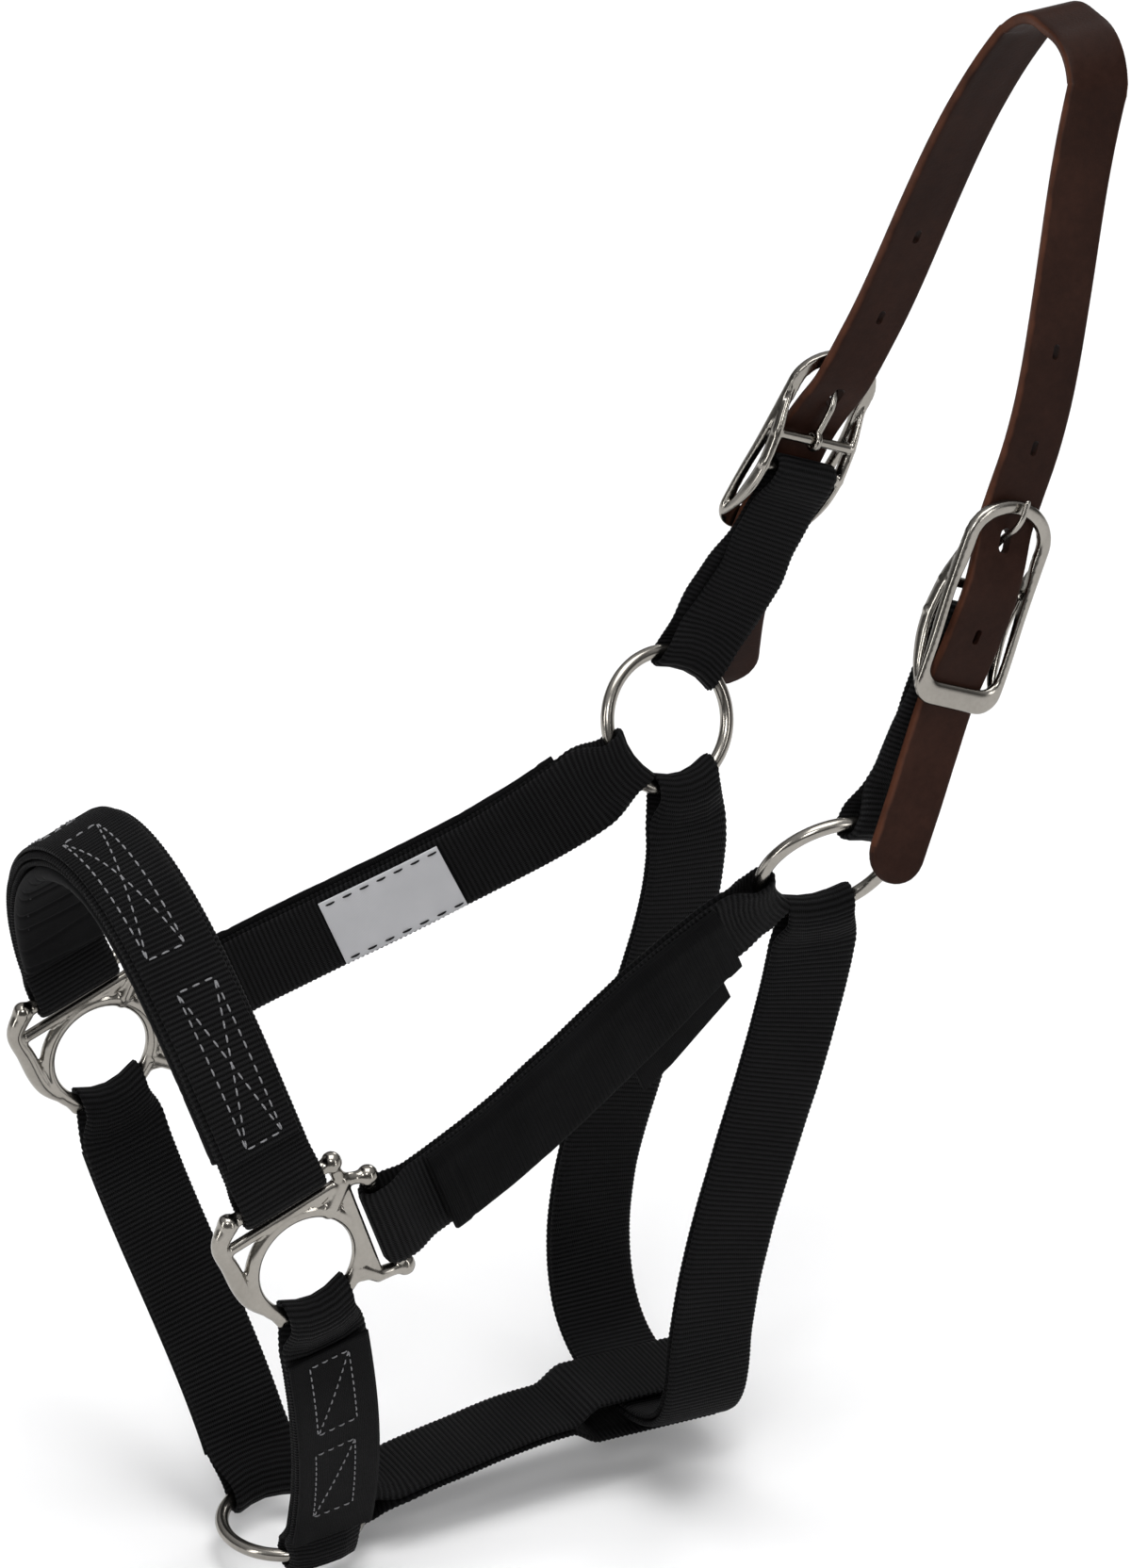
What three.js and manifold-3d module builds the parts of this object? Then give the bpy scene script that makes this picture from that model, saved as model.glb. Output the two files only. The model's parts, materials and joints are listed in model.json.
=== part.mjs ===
// Cob headcollar: black nylon web with a brown leather crown strap, two halter buckles,
// two cast squares and three round rings. Millimetres, +Z up, +X towards the nose, +Y the
// near (left) side. The origin is the underside of the crown strap at the poll.
import * as THREE from "three";
import { mergeVertices } from "three/addons/utils/BufferGeometryUtils.js";
import Module from "manifold-3d";

const wasm = await Module();
wasm.setup();

const V = (x, y, z) => new THREE.Vector3(x, y, z);
const degrees = Math.PI / 180;

// Overall layout, near side; the off side is its mirror image in the plane Y = 0.
const crownReach = 234; // poll to throat ring, in side view
const crownSlope = 65.2; // degrees below the horizontal
const cheekLength = 182; // throat ring to square, in side view
const cheekSlope = 22.6;
const throatHalfWidth = 46.4;
const noseHalfWidth = 63.5;
const noseRise = 101; // square to the crest of the noseband
const noseLean = 26; // how far forward the crest stands
const chinDrop = 124; // square to chin ring
const chinSetback = 26;
const throatDrop = 183; // throat ring to the bottom of the throat strap
const throatSetforward = 31;

// Straps.
const webWidth = 25.4;
const webThickness = 1.8;
const plyGap = 0.3;
const seamGap = 0.8; // between a web and what lies flat on it
const loopClearance = 0.8; // round a ring inside its web loop
const barClearance = 0.5;
const buckleWebWidth = 21; // folded narrower than the full web
const gatheredWidth = 18; // web bunched where it folds round a curved wire
const crownWidth = 17.5;
const crownThickness = 3.2;
const pollFlat = 4; // half width of the flat seat at the poll
const tailLength = 80; // buckle centre to the tip of the crown strap
const nearTailSwing = 5; // how far the tail's tip swings forward in its own plane
const offTailSwing = -22;
const holeLength = 7; // of the hole that the tongue stands in
const holeWidth = 3.6;
const spareHoleLength = 4.6;
const spareHoleWidth = 2.6;
const holePitch = 27;
const holesPerSide = 4;
const firstHole = 8; // below the buckle centre
const tongueHole = 1; // counted from the tip, which is hole 0
const padThickness = 5;
const coverThickness = 2.6;
const overlayThickness = 1.2;

// Rings, squares and buckles.
const ringWire = 4;
const ringRadius = 19.3; // to the middle of the wire
const eyeRadius = 14; // hole of a square
const eyeRim = 4.5;
const squareAngle = 19.5;
const barOffset = 25.2; // eye centre to the middle of a strap bar
const barRadius = 2.1;
const innerBarOffset = 17.4; // straight bars that touch the eye
const innerBarRadius = 1.65;
const barShift = -0.8; // the bars sit a little off the eye's middle, away from the nose and poll
const knobRadius = 3.2;
const buckleLength = 60;
const buckleBar = 1.5; // radius of the tongue bar
const webBar = 1.7;
const railThickness = 3;
const railClearance = 0.9; // beside the web
const archFlange = 1.1; // how far the arch reaches in past the rails
const frontBar = 2.6; // depth of a rail's straight front
const slotMargin = 0.6; // between a rail's slot and the bars
const tongueWire = 2.2;

const halfPly = (webThickness + plyGap) / 2; // middle of one layer of a doubled web
const doubledHalf = webThickness + plyGap / 2; // outer face of a doubled web

// ---------------------------------------------------------------- key places

const across = V(0, 1, 0);
const throatRingAt = V(
  crownReach * Math.cos(crownSlope * degrees),
  throatHalfWidth,
  -crownReach * Math.sin(crownSlope * degrees),
);
const throatRingNormal = V(0.1, 0.9, -0.42).normalize();
const squareAt = V(
  throatRingAt.x + cheekLength * Math.cos(cheekSlope * degrees),
  noseHalfWidth,
  throatRingAt.z - cheekLength * Math.sin(cheekSlope * degrees),
);
const squareForward = V(Math.cos(squareAngle * degrees), 0, -Math.sin(squareAngle * degrees));
const squareUp = V(Math.sin(squareAngle * degrees), 0, Math.cos(squareAngle * degrees));
const noseCrest = V(squareAt.x + noseLean, 0, squareAt.z + noseRise);
const chinRingAt = V(squareAt.x - chinSetback, 0, squareAt.z - chinDrop);
const chinRingNormal = V(0.06, 0, 1).normalize();
const throatBottom = V(throatRingAt.x + throatSetforward, 0, throatRingAt.z - throatDrop);
const buckleAxis = V(0.43, 0.12, -0.895).normalize(); // towards the throat ring
const buckleAcross = V(0.9, 0, 0.43).addScaledVector(buckleAxis, -0.0022).normalize();
const buckleOut = buckleAcross.clone().cross(buckleAxis).normalize();
const buckleAt = throatRingAt.clone().add(V(-45, 3.9, 73.4));

// ---------------------------------------------------------------- solids

function toSolid(geometry) {
  const bare = new THREE.BufferGeometry();
  const source = geometry.index ? geometry.toNonIndexed() : geometry;
  bare.setAttribute("position", source.getAttribute("position").clone());
  const merged = mergeVertices(bare, 1e-3);
  return new wasm.Manifold(
    new wasm.Mesh({
      numProp: 3,
      vertProperties: new Float32Array(merged.attributes.position.array),
      triVerts: new Uint32Array(merged.index.array),
    }),
  );
}

function toGeometry(solid) {
  const mesh = solid.getMesh();
  const geometry = new THREE.BufferGeometry();
  geometry.setAttribute("position", new THREE.BufferAttribute(mesh.vertProperties.slice(), 3));
  geometry.setIndex(new THREE.BufferAttribute(mesh.triVerts.slice(), 1));
  return geometry;
}

function join(geometries) {
  return toGeometry(geometries.map(toSolid).reduce((sum, next) => sum.add(next)));
}

function mirrored(geometry) {
  const copy = (geometry.index ? geometry.toNonIndexed() : geometry.clone()).scale(1, -1, 1);
  const position = copy.getAttribute("position");
  for (let i = 0; i < position.count; i += 3) {
    const a = V(0, 0, 0).fromBufferAttribute(position, i);
    const b = V(0, 0, 0).fromBufferAttribute(position, i + 1);
    position.setXYZ(i, b.x, b.y, b.z);
    position.setXYZ(i + 1, a.x, a.y, a.z);
  }
  return copy;
}

// Moves a piece made about the origin: its X, Y and Z go to three directions and a place.
function placed(geometry, x, y, z, at) {
  return geometry.applyMatrix4(new THREE.Matrix4().makeBasis(x, y, z).setPosition(at));
}

function rod(from, to, radius, sides = 8) {
  const length = from.distanceTo(to);
  const geometry = new THREE.CylinderGeometry(radius, radius, length, sides);
  const turn = new THREE.Quaternion().setFromUnitVectors(V(0, 1, 0), to.clone().sub(from).normalize());
  return geometry.applyQuaternion(turn).translate(...from.clone().lerp(to, 0.5).toArray());
}

function ball(at, radius) {
  return new THREE.SphereGeometry(radius, 8, 6).translate(...at.toArray());
}

function disc(radius, sides = 6) {
  const shape = new THREE.Shape();
  shape.setFromPoints(
    Array.from({ length: sides }, (_, i) => {
      const turn = (2 * Math.PI * i) / sides;
      return new THREE.Vector2(radius * Math.cos(turn), radius * Math.sin(turn));
    }),
  );
  return shape;
}

function wire(points, radius, steps) {
  const path = new THREE.CatmullRomCurve3(points);
  return new THREE.ExtrudeGeometry(disc(radius), { steps, extrudePath: path, bevelEnabled: false });
}

function roundRing(centre, normal) {
  const turn = new THREE.Quaternion().setFromUnitVectors(V(0, 0, 1), normal);
  const geometry = new THREE.TorusGeometry(ringRadius, ringWire / 2, 8, 28);
  return geometry.applyQuaternion(turn).translate(...centre.toArray());
}

// ---------------------------------------------------------------- strap routes

// A route is the middle line of a strap with the direction across the strap at each place.
class Route {
  constructor(points, ...acrossKeys) {
    this.points = points;
    this.acrossKeys = acrossKeys;
    this.marks = [0];
    for (let i = 1; i < points.length; i++) {
      this.marks.push(this.marks[i - 1] + points[i].distanceTo(points[i - 1]));
    }
    this.length = this.marks[points.length - 1];
  }

  tangentAtPoint(i) {
    const before = this.points[Math.max(i - 1, 0)];
    const after = this.points[Math.min(i + 1, this.points.length - 1)];
    return after.clone().sub(before).normalize();
  }

  // Beyond either end the route goes on straight.
  at(s) {
    let i = 0;
    while (i < this.points.length - 2 && this.marks[i + 1] < s) i++;
    const share = (s - this.marks[i]) / (this.marks[i + 1] - this.marks[i]);
    const inside = Math.min(Math.max(share, 0), 1);
    const along = this.tangentAtPoint(i).lerp(this.tangentAtPoint(i + 1), inside).normalize();
    const place = this.points[i].clone().lerp(this.points[i + 1], inside);
    place.addScaledVector(along, (share - inside) * (this.marks[i + 1] - this.marks[i]));
    const turn = Math.min(Math.max(s / this.length, 0), 1) * (this.acrossKeys.length - 1);
    const key = Math.min(Math.floor(turn), this.acrossKeys.length - 2);
    const side = this.acrossKeys[key].clone().lerp(this.acrossKeys[key + 1], turn - key);
    side.addScaledVector(along, -side.dot(along)).normalize();
    return { place, along, side, out: side.clone().cross(along) };
  }

  point(s, offset, sideways) {
    const f = this.at(s);
    return f.place.clone().addScaledVector(f.out, offset).addScaledVector(f.side, sideways);
  }
}

function bezier(a, handleA, handleB, b, steps) {
  return new THREE.CubicBezierCurve3(a, handleA, handleB, b).getSpacedPoints(steps);
}

// Skin over stations of four corners each, closed on itself or capped at both ends.
function bandGeometry(stations, closed) {
  const corners = [];
  const triangle = (a, b, c) => corners.push(...a.toArray(), ...b.toArray(), ...c.toArray());
  const quad = (a, b, c, d) => {
    triangle(a, b, c);
    triangle(a, c, d);
  };
  const last = closed ? stations.length : stations.length - 1;
  for (let i = 0; i < last; i++) {
    const here = stations[i];
    const next = stations[(i + 1) % stations.length];
    for (let k = 0; k < 4; k++) quad(here[k], here[(k + 1) % 4], next[(k + 1) % 4], next[k]);
  }
  if (!closed) {
    const end = stations[stations.length - 1];
    quad(stations[0][3], stations[0][2], stations[0][1], stations[0][0]);
    quad(end[0], end[1], end[2], end[3]);
  }
  const geometry = new THREE.BufferGeometry();
  geometry.setAttribute("position", new THREE.Float32BufferAttribute(corners, 3));
  return toSolid(geometry).volume() < 0 ? flipped(geometry) : geometry;
}

function flipped(geometry) {
  return mirrored(geometry).scale(1, -1, 1);
}

const smooth = (x) => {
  const t = Math.min(Math.max(x, 0), 1);
  return t * t * (3 - 2 * t);
};

// An open strip of constant thickness lying along a route at an offset from its middle line.
function strip({ route, from, to, offset, thickness, width, shift = 0, steps = 14 }) {
  const stations = [];
  for (let i = 0; i <= steps; i++) {
    const s = from + ((to - from) * i) / steps;
    const half = width / 2;
    stations.push([
      route.point(s, offset - thickness / 2, shift - half),
      route.point(s, offset - thickness / 2, shift + half),
      route.point(s, offset + thickness / 2, shift + half),
      route.point(s, offset + thickness / 2, shift - half),
    ]);
  }
  return bandGeometry(stations, false);
}

// What a web loop has to clear. Round a straight bar:
function barLoop(at, across, radius, width = webWidth) {
  return { at, across, half: radius + barClearance, back: 0, width };
}

// Round the curved wire of a ring, which falls away at the loop's edges by the depth of its
// arc. The strap leaves square to the wire, as near as it can to its pull.
function wireLoop(spot, pull, wireRadius, curveRadius, width) {
  const depth = curveRadius - Math.sqrt(curveRadius ** 2 - (width / 2) ** 2);
  const leave = pull.clone().addScaledVector(spot.tangent, -spot.tangent.dot(pull)).normalize();
  const alongPull = spot.outward.dot(leave);
  const aside = spot.outward.clone().addScaledVector(leave, -alongPull);
  return {
    leave,
    at: spot.place.clone().addScaledVector(aside, -depth / 2),
    across: spot.tangent,
    half: wireRadius + loopClearance + (aside.length() * depth) / 2,
    back: Math.max(alongPull * depth, 0),
    width,
  };
}

const mergeLength = 9; // from a wire to where the two layers meet
const bendSteps = 6;

// A doubled web: one closed loop of web drawn round a bar at each end of its route.
function doubledWeb({ route, start, end, width = webWidth, steps = 12 }) {
  const path = [];
  const length = route.length;
  const layer = (s) => {
    const startPull = smooth((s - start.half) / mergeLength);
    const endPull = smooth((length - s - end.half) / mergeLength);
    const startSize = start.half + webThickness / 2;
    const endSize = end.half + webThickness / 2;
    return halfPly + (startSize - halfPly) * (1 - startPull) + (endSize - halfPly) * (1 - endPull);
  };
  const bend = (centre, size, sign) => {
    for (let i = 1; i < bendSteps; i++) {
      const turn = (Math.PI * i) / bendSteps;
      path.push([centre + sign * size * Math.sin(turn), sign * size * Math.cos(turn)]);
    }
  };
  const stops = [-start.back, 0, start.half];
  const inner = length - start.half - end.half;
  for (let i = 1; i < 4; i++) stops.push(start.half + (mergeLength * i) / 3);
  const middle = inner - 2 * mergeLength;
  for (let i = 1; i < steps; i++) stops.push(start.half + mergeLength + (middle * i) / steps);
  for (let i = 0; i < 3; i++) stops.push(length - end.half - mergeLength + (mergeLength * i) / 3);
  stops.push(length - end.half, length, length + end.back);
  const clean = stops.filter((s, i) => i === 0 || s - stops[i - 1] > 0.05);
  clean.forEach((s) => path.push([s, layer(s)]));
  bend(length + end.back, end.half + webThickness / 2, 1);
  clean.slice().reverse().forEach((s) => path.push([s, -layer(s)]));
  bend(-start.back, start.half + webThickness / 2, -1);

  const widthAt = (s) => {
    const nearStart = 1 - smooth((s - start.half) / (1.6 * mergeLength));
    const nearEnd = 1 - smooth((length - s - end.half) / (1.6 * mergeLength));
    return width + (start.width - width) * nearStart + (end.width - width) * nearEnd;
  };
  const stations = path.map(([s, h], i) => {
    const before = path[(i + path.length - 1) % path.length];
    const after = path[(i + 1) % path.length];
    const size = Math.hypot(after[0] - before[0], after[1] - before[1]);
    const turnS = (-(after[1] - before[1]) / size) * (webThickness / 2);
    const turnH = ((after[0] - before[0]) / size) * (webThickness / 2);
    const half = widthAt(s) / 2;
    return [
      route.point(s - turnS, h - turnH, -half),
      route.point(s - turnS, h - turnH, half),
      route.point(s + turnS, h + turnH, half),
      route.point(s + turnS, h + turnH, -half),
    ];
  });
  return bandGeometry(stations, true);
}

// ---------------------------------------------------------------- places on the hardware

// A place on a ring at an angle in its plane, measured from forward towards up, or on a
// level ring towards the near side.
function onRing(centre, normal, radius, angle) {
  const forward = V(1, 0, 0).addScaledVector(normal, -normal.x).normalize();
  const up = forward.clone().cross(normal).normalize();
  if (normal.z > 0.5) up.negate();
  const turn = angle * degrees;
  const outward = forward.clone().multiplyScalar(Math.cos(turn)).addScaledVector(up, Math.sin(turn));
  const tangent = forward.clone().multiplyScalar(-Math.sin(turn)).addScaledVector(up, Math.cos(turn));
  return { place: centre.clone().addScaledVector(outward, radius), outward, tangent };
}

const wireRadius = ringWire / 2;
const eyeMiddle = eyeRadius + eyeRim / 2;

function buckleLocal(s, out, sideways = 0) {
  return buckleAt
    .clone()
    .addScaledVector(buckleAxis, s)
    .addScaledVector(buckleOut, out)
    .addScaledVector(buckleAcross, sideways);
}

// Heights above the buckle's middle plane and places along its axis.
const tongueBarAlong = -3.2;
const tongueBarOut = -2.5;
const webBarAlong = 6.4;
const webBarOut = -4;
const archBack = 0.7;
const archFront = 3.7;
const keeperThickness = 2.4;
const keeperWidth = 6;
const leatherGap = 0.4;
const leatherAtKeeper = 0.25;
const keeperBack = leatherAtKeeper + crownThickness / 2 + leatherGap;
const leatherAtArch = archBack - leatherGap - leatherAtKeeper - crownThickness / 2;
const archRise = 0.4; // of the strap where it starts to climb from the arch to the tongue bar

// ---------------------------------------------------------------- the straps' routes

const chinPull = V(chinRingAt.x - squareAt.x, 0, chinRingAt.z - squareAt.z).normalize();
const pulls = {
  buckle: V(-0.56, -0.1, 0.81).normalize(),
  cheek: V(0.93, 0.06, -0.34).normalize(),
  throat: V(0.05, -0.2, -0.98).normalize(),
  chin: V(0.06, 0.42, 0.9).normalize(),
  eye: chinPull.clone().add(V(0, -0.12, 0)).normalize(),
  jaw: V(-1, 0, 0.28).normalize(),
};
const gathered = (spot, pull, width) => wireLoop(spot, pull, wireRadius, ringRadius, width);
const onThroatRing = (angle) => onRing(throatRingAt, throatRingNormal, ringRadius, angle);
const onChinRing = (angle) => onRing(chinRingAt, chinRingNormal, ringRadius, angle);
const onEye = {
  place: squareAt.clone().addScaledVector(chinPull, eyeMiddle),
  outward: chinPull,
  tangent: V(-chinPull.z, 0, chinPull.x),
};
const loops = {
  webBar: barLoop(buckleLocal(webBarAlong, webBarOut), buckleAcross, webBar, buckleWebWidth - 1),
  buckleRing: gathered(onThroatRing(125), pulls.buckle, gatheredWidth),
  cheekRing: gathered(onThroatRing(-27), pulls.cheek, gatheredWidth - 3),
  throatRing: gathered(onThroatRing(-94), pulls.throat, gatheredWidth),
  cheekBar: barLoop(
    squareAt.clone().addScaledVector(squareForward, -barOffset).addScaledVector(squareUp, barShift * 2),
    squareUp,
    barRadius,
  ),
  noseBar: barLoop(
    squareAt.clone().addScaledVector(squareUp, barOffset).addScaledVector(squareForward, barShift),
    squareForward,
    barRadius,
  ),
  chinEye: wireLoop(onEye, pulls.eye, eyeRim / 2, eyeMiddle, gatheredWidth - 2),
  chinRing: gathered(onChinRing(90), pulls.chin, gatheredWidth + 1),
  jawRing: gathered(onChinRing(180), pulls.jaw, gatheredWidth),
};

// A strap's middle line between two loops that leaves each along its own direction.
function between(a, leaveA, b, leaveB, steps, shareA = 1 / 3, shareB = 1 / 3) {
  const reach = a.at.distanceTo(b.at);
  const handleA = a.at.clone().addScaledVector(leaveA, shareA * reach);
  const handleB = b.at.clone().addScaledVector(leaveB, shareB * reach);
  return new THREE.CubicBezierCurve3(a.at, handleA, handleB, b.at).getSpacedPoints(steps);
}

function cheekRoute() {
  const start = loops.cheekRing;
  const points = between(start, start.leave, loops.cheekBar, squareForward.clone().negate(), 24);
  return new Route(points, start.across, squareUp, squareUp, squareUp);
}

function buckleWebRoute() {
  const points = between(loops.webBar, buckleAxis, loops.buckleRing, loops.buckleRing.leave, 16);
  return new Route(points, buckleAcross, loops.buckleRing.across.clone().negate());
}

function chinRoute() {
  const points = between(loops.chinEye, loops.chinEye.leave, loops.chinRing, loops.chinRing.leave, 20);
  return new Route(points, loops.chinEye.across, loops.chinRing.across.clone().negate());
}

function mirrorOnto(points) {
  const off = points.slice(0, -1).reverse();
  return points.concat(off.map((p) => V(p.x, -p.y, p.z)));
}

function noseRoute() {
  const points = between(loops.noseBar, squareUp, { at: noseCrest }, across, 20, 0.46, 0.31);
  const backward = squareForward.clone().negate();
  return new Route(mirrorOnto(points), backward, backward);
}

const throatAcross = V(0.998, 0, 0.06).normalize();
const throatCorner = { at: V(throatBottom.x - 1, 0.78 * throatHalfWidth, throatBottom.z + 31) };

function throatRoute() {
  const down = V(0.02, -0.02, -1).normalize();
  const up = V(-0.04, 0.05, 1).normalize();
  const side = between(loops.throatRing, loops.throatRing.leave, throatCorner, up, 14);
  const bottom = between(throatCorner, down, { at: throatBottom }, across, 9, 0.5, 0.52);
  const half = side.concat(bottom.slice(1));
  const tangent = loops.throatRing.across;
  const offTangent = V(tangent.x, -tangent.y, tangent.z);
  return new Route(mirrorOnto(half), tangent, throatAcross, throatAcross, throatAcross, offTangent);
}

// The jaw strap's rear loop is long enough to take the flat throat strap with room to slide.
const jawSlack = 2.8;
const jawRear = {
  at: V(throatBottom.x + webWidth / 2 + jawSlack, 0, throatBottom.z),
  half: doubledHalf + jawSlack,
  back: webWidth + 2 * jawSlack,
  width: webWidth,
};

function jawRoute() {
  const points = between(loops.jawRing, loops.jawRing.leave, jawRear, V(1, 0, 0.04).normalize(), 16);
  return new Route(points, across, across);
}

// Half of the crown strap, from the tip of its tail up to the poll. The tail swings aside in
// its own plane once it is past the keeper.
function crownPoints(tailSwing) {
  const keeperAlong = buckleLength / 2 - 2;
  const inBuckle = [
    [tailLength, 9.4],
    [70, 7.2],
    [58, 4.9],
    [44, 2.2],
    [keeperAlong, leatherAtKeeper],
    [16, 1.6],
    [webBarAlong, 2.4],
    [tongueBarAlong, 2.6],
    [-12, 1.2],
    [-21, leatherAtArch + archRise],
    [-buckleLength / 2 + 1.5, leatherAtArch],
    [-buckleLength / 2 - 8, leatherAtArch],
  ].map(([s, out]) => {
    const past = Math.max((s - keeperAlong) / (tailLength - keeperAlong), 0);
    return buckleLocal(s, out, tailSwing * past ** 1.4);
  });
  const lower = new THREE.CatmullRomCurve3(inBuckle).getSpacedPoints(30);
  const top = lower[lower.length - 1];
  const seat = V(0, pollFlat, crownThickness / 2);
  const shoulder = V(0, 2 * pollFlat, crownThickness / 2);
  const bendOver = V(top.x * 0.07, 20, -8.5);
  const over = bezier(shoulder, V(0, 12, crownThickness / 2), V(0.4, 17, -2.5), bendOver, 8);
  const side = bezier(
    bendOver,
    V(top.x * 0.5, 32, top.z * 0.36),
    top.clone().addScaledVector(buckleAxis, -30),
    top,
    14,
  );
  return lower.concat(side.slice(0, -1).reverse(), over.slice(0, -1).reverse(), [seat]);
}

// ---------------------------------------------------------------- pieces

const black = { color: 0x121212, roughness: 0.85, metalness: 0 };
const leather = { color: 0x33201a, roughness: 0.55, metalness: 0 };
const nickel = { color: 0xb5b0a8, roughness: 0.25, metalness: 1 };
const satin = { color: 0xa9a9ab, roughness: 0.5, metalness: 0 };

const headcollar = new THREE.Group();

function piece(name, geometry, look) {
  const mesh = new THREE.Mesh(geometry, new THREE.MeshStandardMaterial(look));
  mesh.name = name;
  headcollar.add(mesh);
}

function pair(name, geometry, look) {
  piece("near_" + name, geometry, look);
  piece("off_" + name, mirrored(geometry), look);
}

// An oblong prism that cuts a tongue hole through the crown strap.
function oblongCutter(frame, length, width) {
  const r = width / 2;
  const straight = length / 2 - r;
  const shape = new THREE.Shape();
  shape.absarc(straight, 0, r, -Math.PI / 2, Math.PI / 2);
  shape.absarc(-straight, 0, r, Math.PI / 2, (3 * Math.PI) / 2);
  const depth = 3 * crownThickness;
  const prism = new THREE.ExtrudeGeometry(shape, { depth, bevelEnabled: false, curveSegments: 3 });
  prism.translate(0, 0, -depth / 2);
  return placed(prism, frame.along, frame.side.clone().negate(), frame.out, frame.place);
}

const bluntTip = 0.45; // width of the strap's very end, as a share of its full width

function crownStrap() {
  const near = crownPoints(nearTailSwing);
  const off = crownPoints(offTailSwing).map((p) => V(p.x, -p.y, p.z));
  const points = near.concat([V(0, 0, crownThickness / 2)], off.reverse());
  // Across the strap: along X at the poll, along the buckle's bar at the buckles.
  const sides = points.map((p) => {
    const share = smooth(p.z / buckleAt.z);
    return V(1, 0, 0).lerp(buckleAcross, share).normalize();
  });
  const route = new Route(points, sides[0], sides[0]);
  const stations = points.map((p, i) => {
    const along = route.tangentAtPoint(i);
    const side = sides[i].clone().addScaledVector(along, -sides[i].dot(along)).normalize();
    const out = side.clone().cross(along);
    const fromTip = Math.min(route.marks[i], route.length - route.marks[i]);
    const roundOff = crownWidth / 2;
    const tip = fromTip < roundOff ? Math.sqrt(1 - (1 - fromTip / roundOff) ** 2) : 1;
    const halfWidth = (crownWidth / 2) * Math.max(tip, bluntTip);
    const corner = (height, sideways) =>
      p.clone().addScaledVector(out, height).addScaledVector(side, sideways);
    const half = crownThickness / 2;
    return [
      corner(-half, -halfWidth),
      corner(-half, halfWidth),
      corner(half, halfWidth),
      corner(half, -halfWidth),
    ];
  });
  const strap = toSolid(bandGeometry(stations, false));
  let cut = strap;
  for (let k = 0; k < holesPerSide; k++) {
    const s = tailLength - firstHole + k * holePitch;
    const frame = route.at(s);
    frame.side = buckleAcross.clone().addScaledVector(frame.along, -buckleAcross.dot(frame.along));
    frame.side.normalize();
    frame.out = frame.side.clone().cross(frame.along);
    const cutter =
      k === tongueHole
        ? oblongCutter(frame, holeLength, holeWidth)
        : oblongCutter(frame, spareHoleLength, spareHoleWidth);
    cut = cut.subtract(toSolid(cutter)).subtract(toSolid(mirrored(cutter)));
  }
  return toGeometry(cut);
}

function buckleFrame() {
  const innerHalf = buckleWebWidth / 2 + railClearance;
  const outerHalf = innerHalf + railThickness;
  const top = buckleLength / 2;
  const shoulder = top - 12.5;
  // Outline pieces are drawn with Z up the buckle and Y out of it.
  const arch = new THREE.Shape();
  arch.moveTo(outerHalf, shoulder - 2);
  arch.lineTo(outerHalf, shoulder);
  arch.absellipse(0, shoulder, outerHalf, top - shoulder, 0, Math.PI, false);
  arch.lineTo(-outerHalf, shoulder - 2);
  const archInner = innerHalf - archFlange;
  arch.lineTo(-archInner, shoulder - 2);
  arch.lineTo(-archInner, shoulder);
  arch.absellipse(0, shoulder, archInner, top - shoulder - railThickness - archFlange, Math.PI, 0, true);
  arch.lineTo(archInner, shoulder - 2);
  const archSolid = new THREE.ExtrudeGeometry(arch, {
    depth: archFront - archBack,
    bevelEnabled: false,
    curveSegments: 12,
  });
  archSolid.rotateX(Math.PI / 2).translate(0, archFront, 0);

  const keeperFront = keeperBack + keeperThickness;
  const rail = new THREE.Shape();
  [
    [archFront, shoulder],
    [archFront, -12],
    [keeperFront, -20],
    [keeperFront, -top],
    [-2, -top],
    [-3.6, -top + 5],
    [-3.2, -22],
    [-2.2, -16.5],
    [webBarOut - 1.4, -11],
    [webBarOut - webBar - 0.8, -webBarAlong],
    [webBarOut - 1, -1],
    [tongueBarOut - 1.4, -tongueBarAlong + 1],
    [-1.4, 9],
    [archBack, shoulder - 3],
    [archBack, shoulder],
  ].forEach(([out, up], i) => (i ? rail.lineTo(out, up) : rail.moveTo(out, up)));
  // The slot between the straight front of a rail and the bow that carries the bars.
  const slot = new THREE.Path();
  [
    [archFront - frontBar, 10],
    [tongueBarOut + buckleBar + slotMargin, -tongueBarAlong],
    [webBarOut + webBar + slotMargin, -webBarAlong],
    [-1, -12],
    [0.5, -17],
    [0.2, -24],
    [keeperFront - frontBar - 0.4, -24],
    [keeperFront - frontBar, -18],
    [archFront - frontBar, -10],
  ].forEach(([out, up], i) => (i ? slot.lineTo(out, up) : slot.moveTo(out, up)));
  rail.holes.push(slot);
  const railSolid = new THREE.ExtrudeGeometry(rail, { depth: railThickness, bevelEnabled: false });
  // Shape X, Y and depth become out, up and across.
  const turn = new THREE.Matrix4().makeBasis(V(0, 1, 0), V(0, 0, 1), V(1, 0, 0));
  railSolid.applyMatrix4(turn);
  const rails = [railSolid.clone().translate(innerHalf, 0, 0), railSolid.translate(-outerHalf, 0, 0)];

  const keeper = new THREE.BoxGeometry(2 * innerHalf + 2, keeperThickness, keeperWidth);
  keeper.translate(0, keeperBack + keeperThickness / 2, -top + keeperWidth / 2);
  const reach = innerHalf + railThickness / 2;
  const bars = [
    rod(V(-reach, tongueBarOut, -tongueBarAlong), V(reach, tongueBarOut, -tongueBarAlong), buckleBar),
    rod(V(-reach, webBarOut, -webBarAlong), V(reach, webBarOut, -webBarAlong), webBar),
  ];
  const frame = join([archSolid, ...rails, keeper, ...bars]);
  return placed(frame, buckleAcross, buckleOut, buckleAxis.clone().negate(), buckleAt);
}

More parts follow.
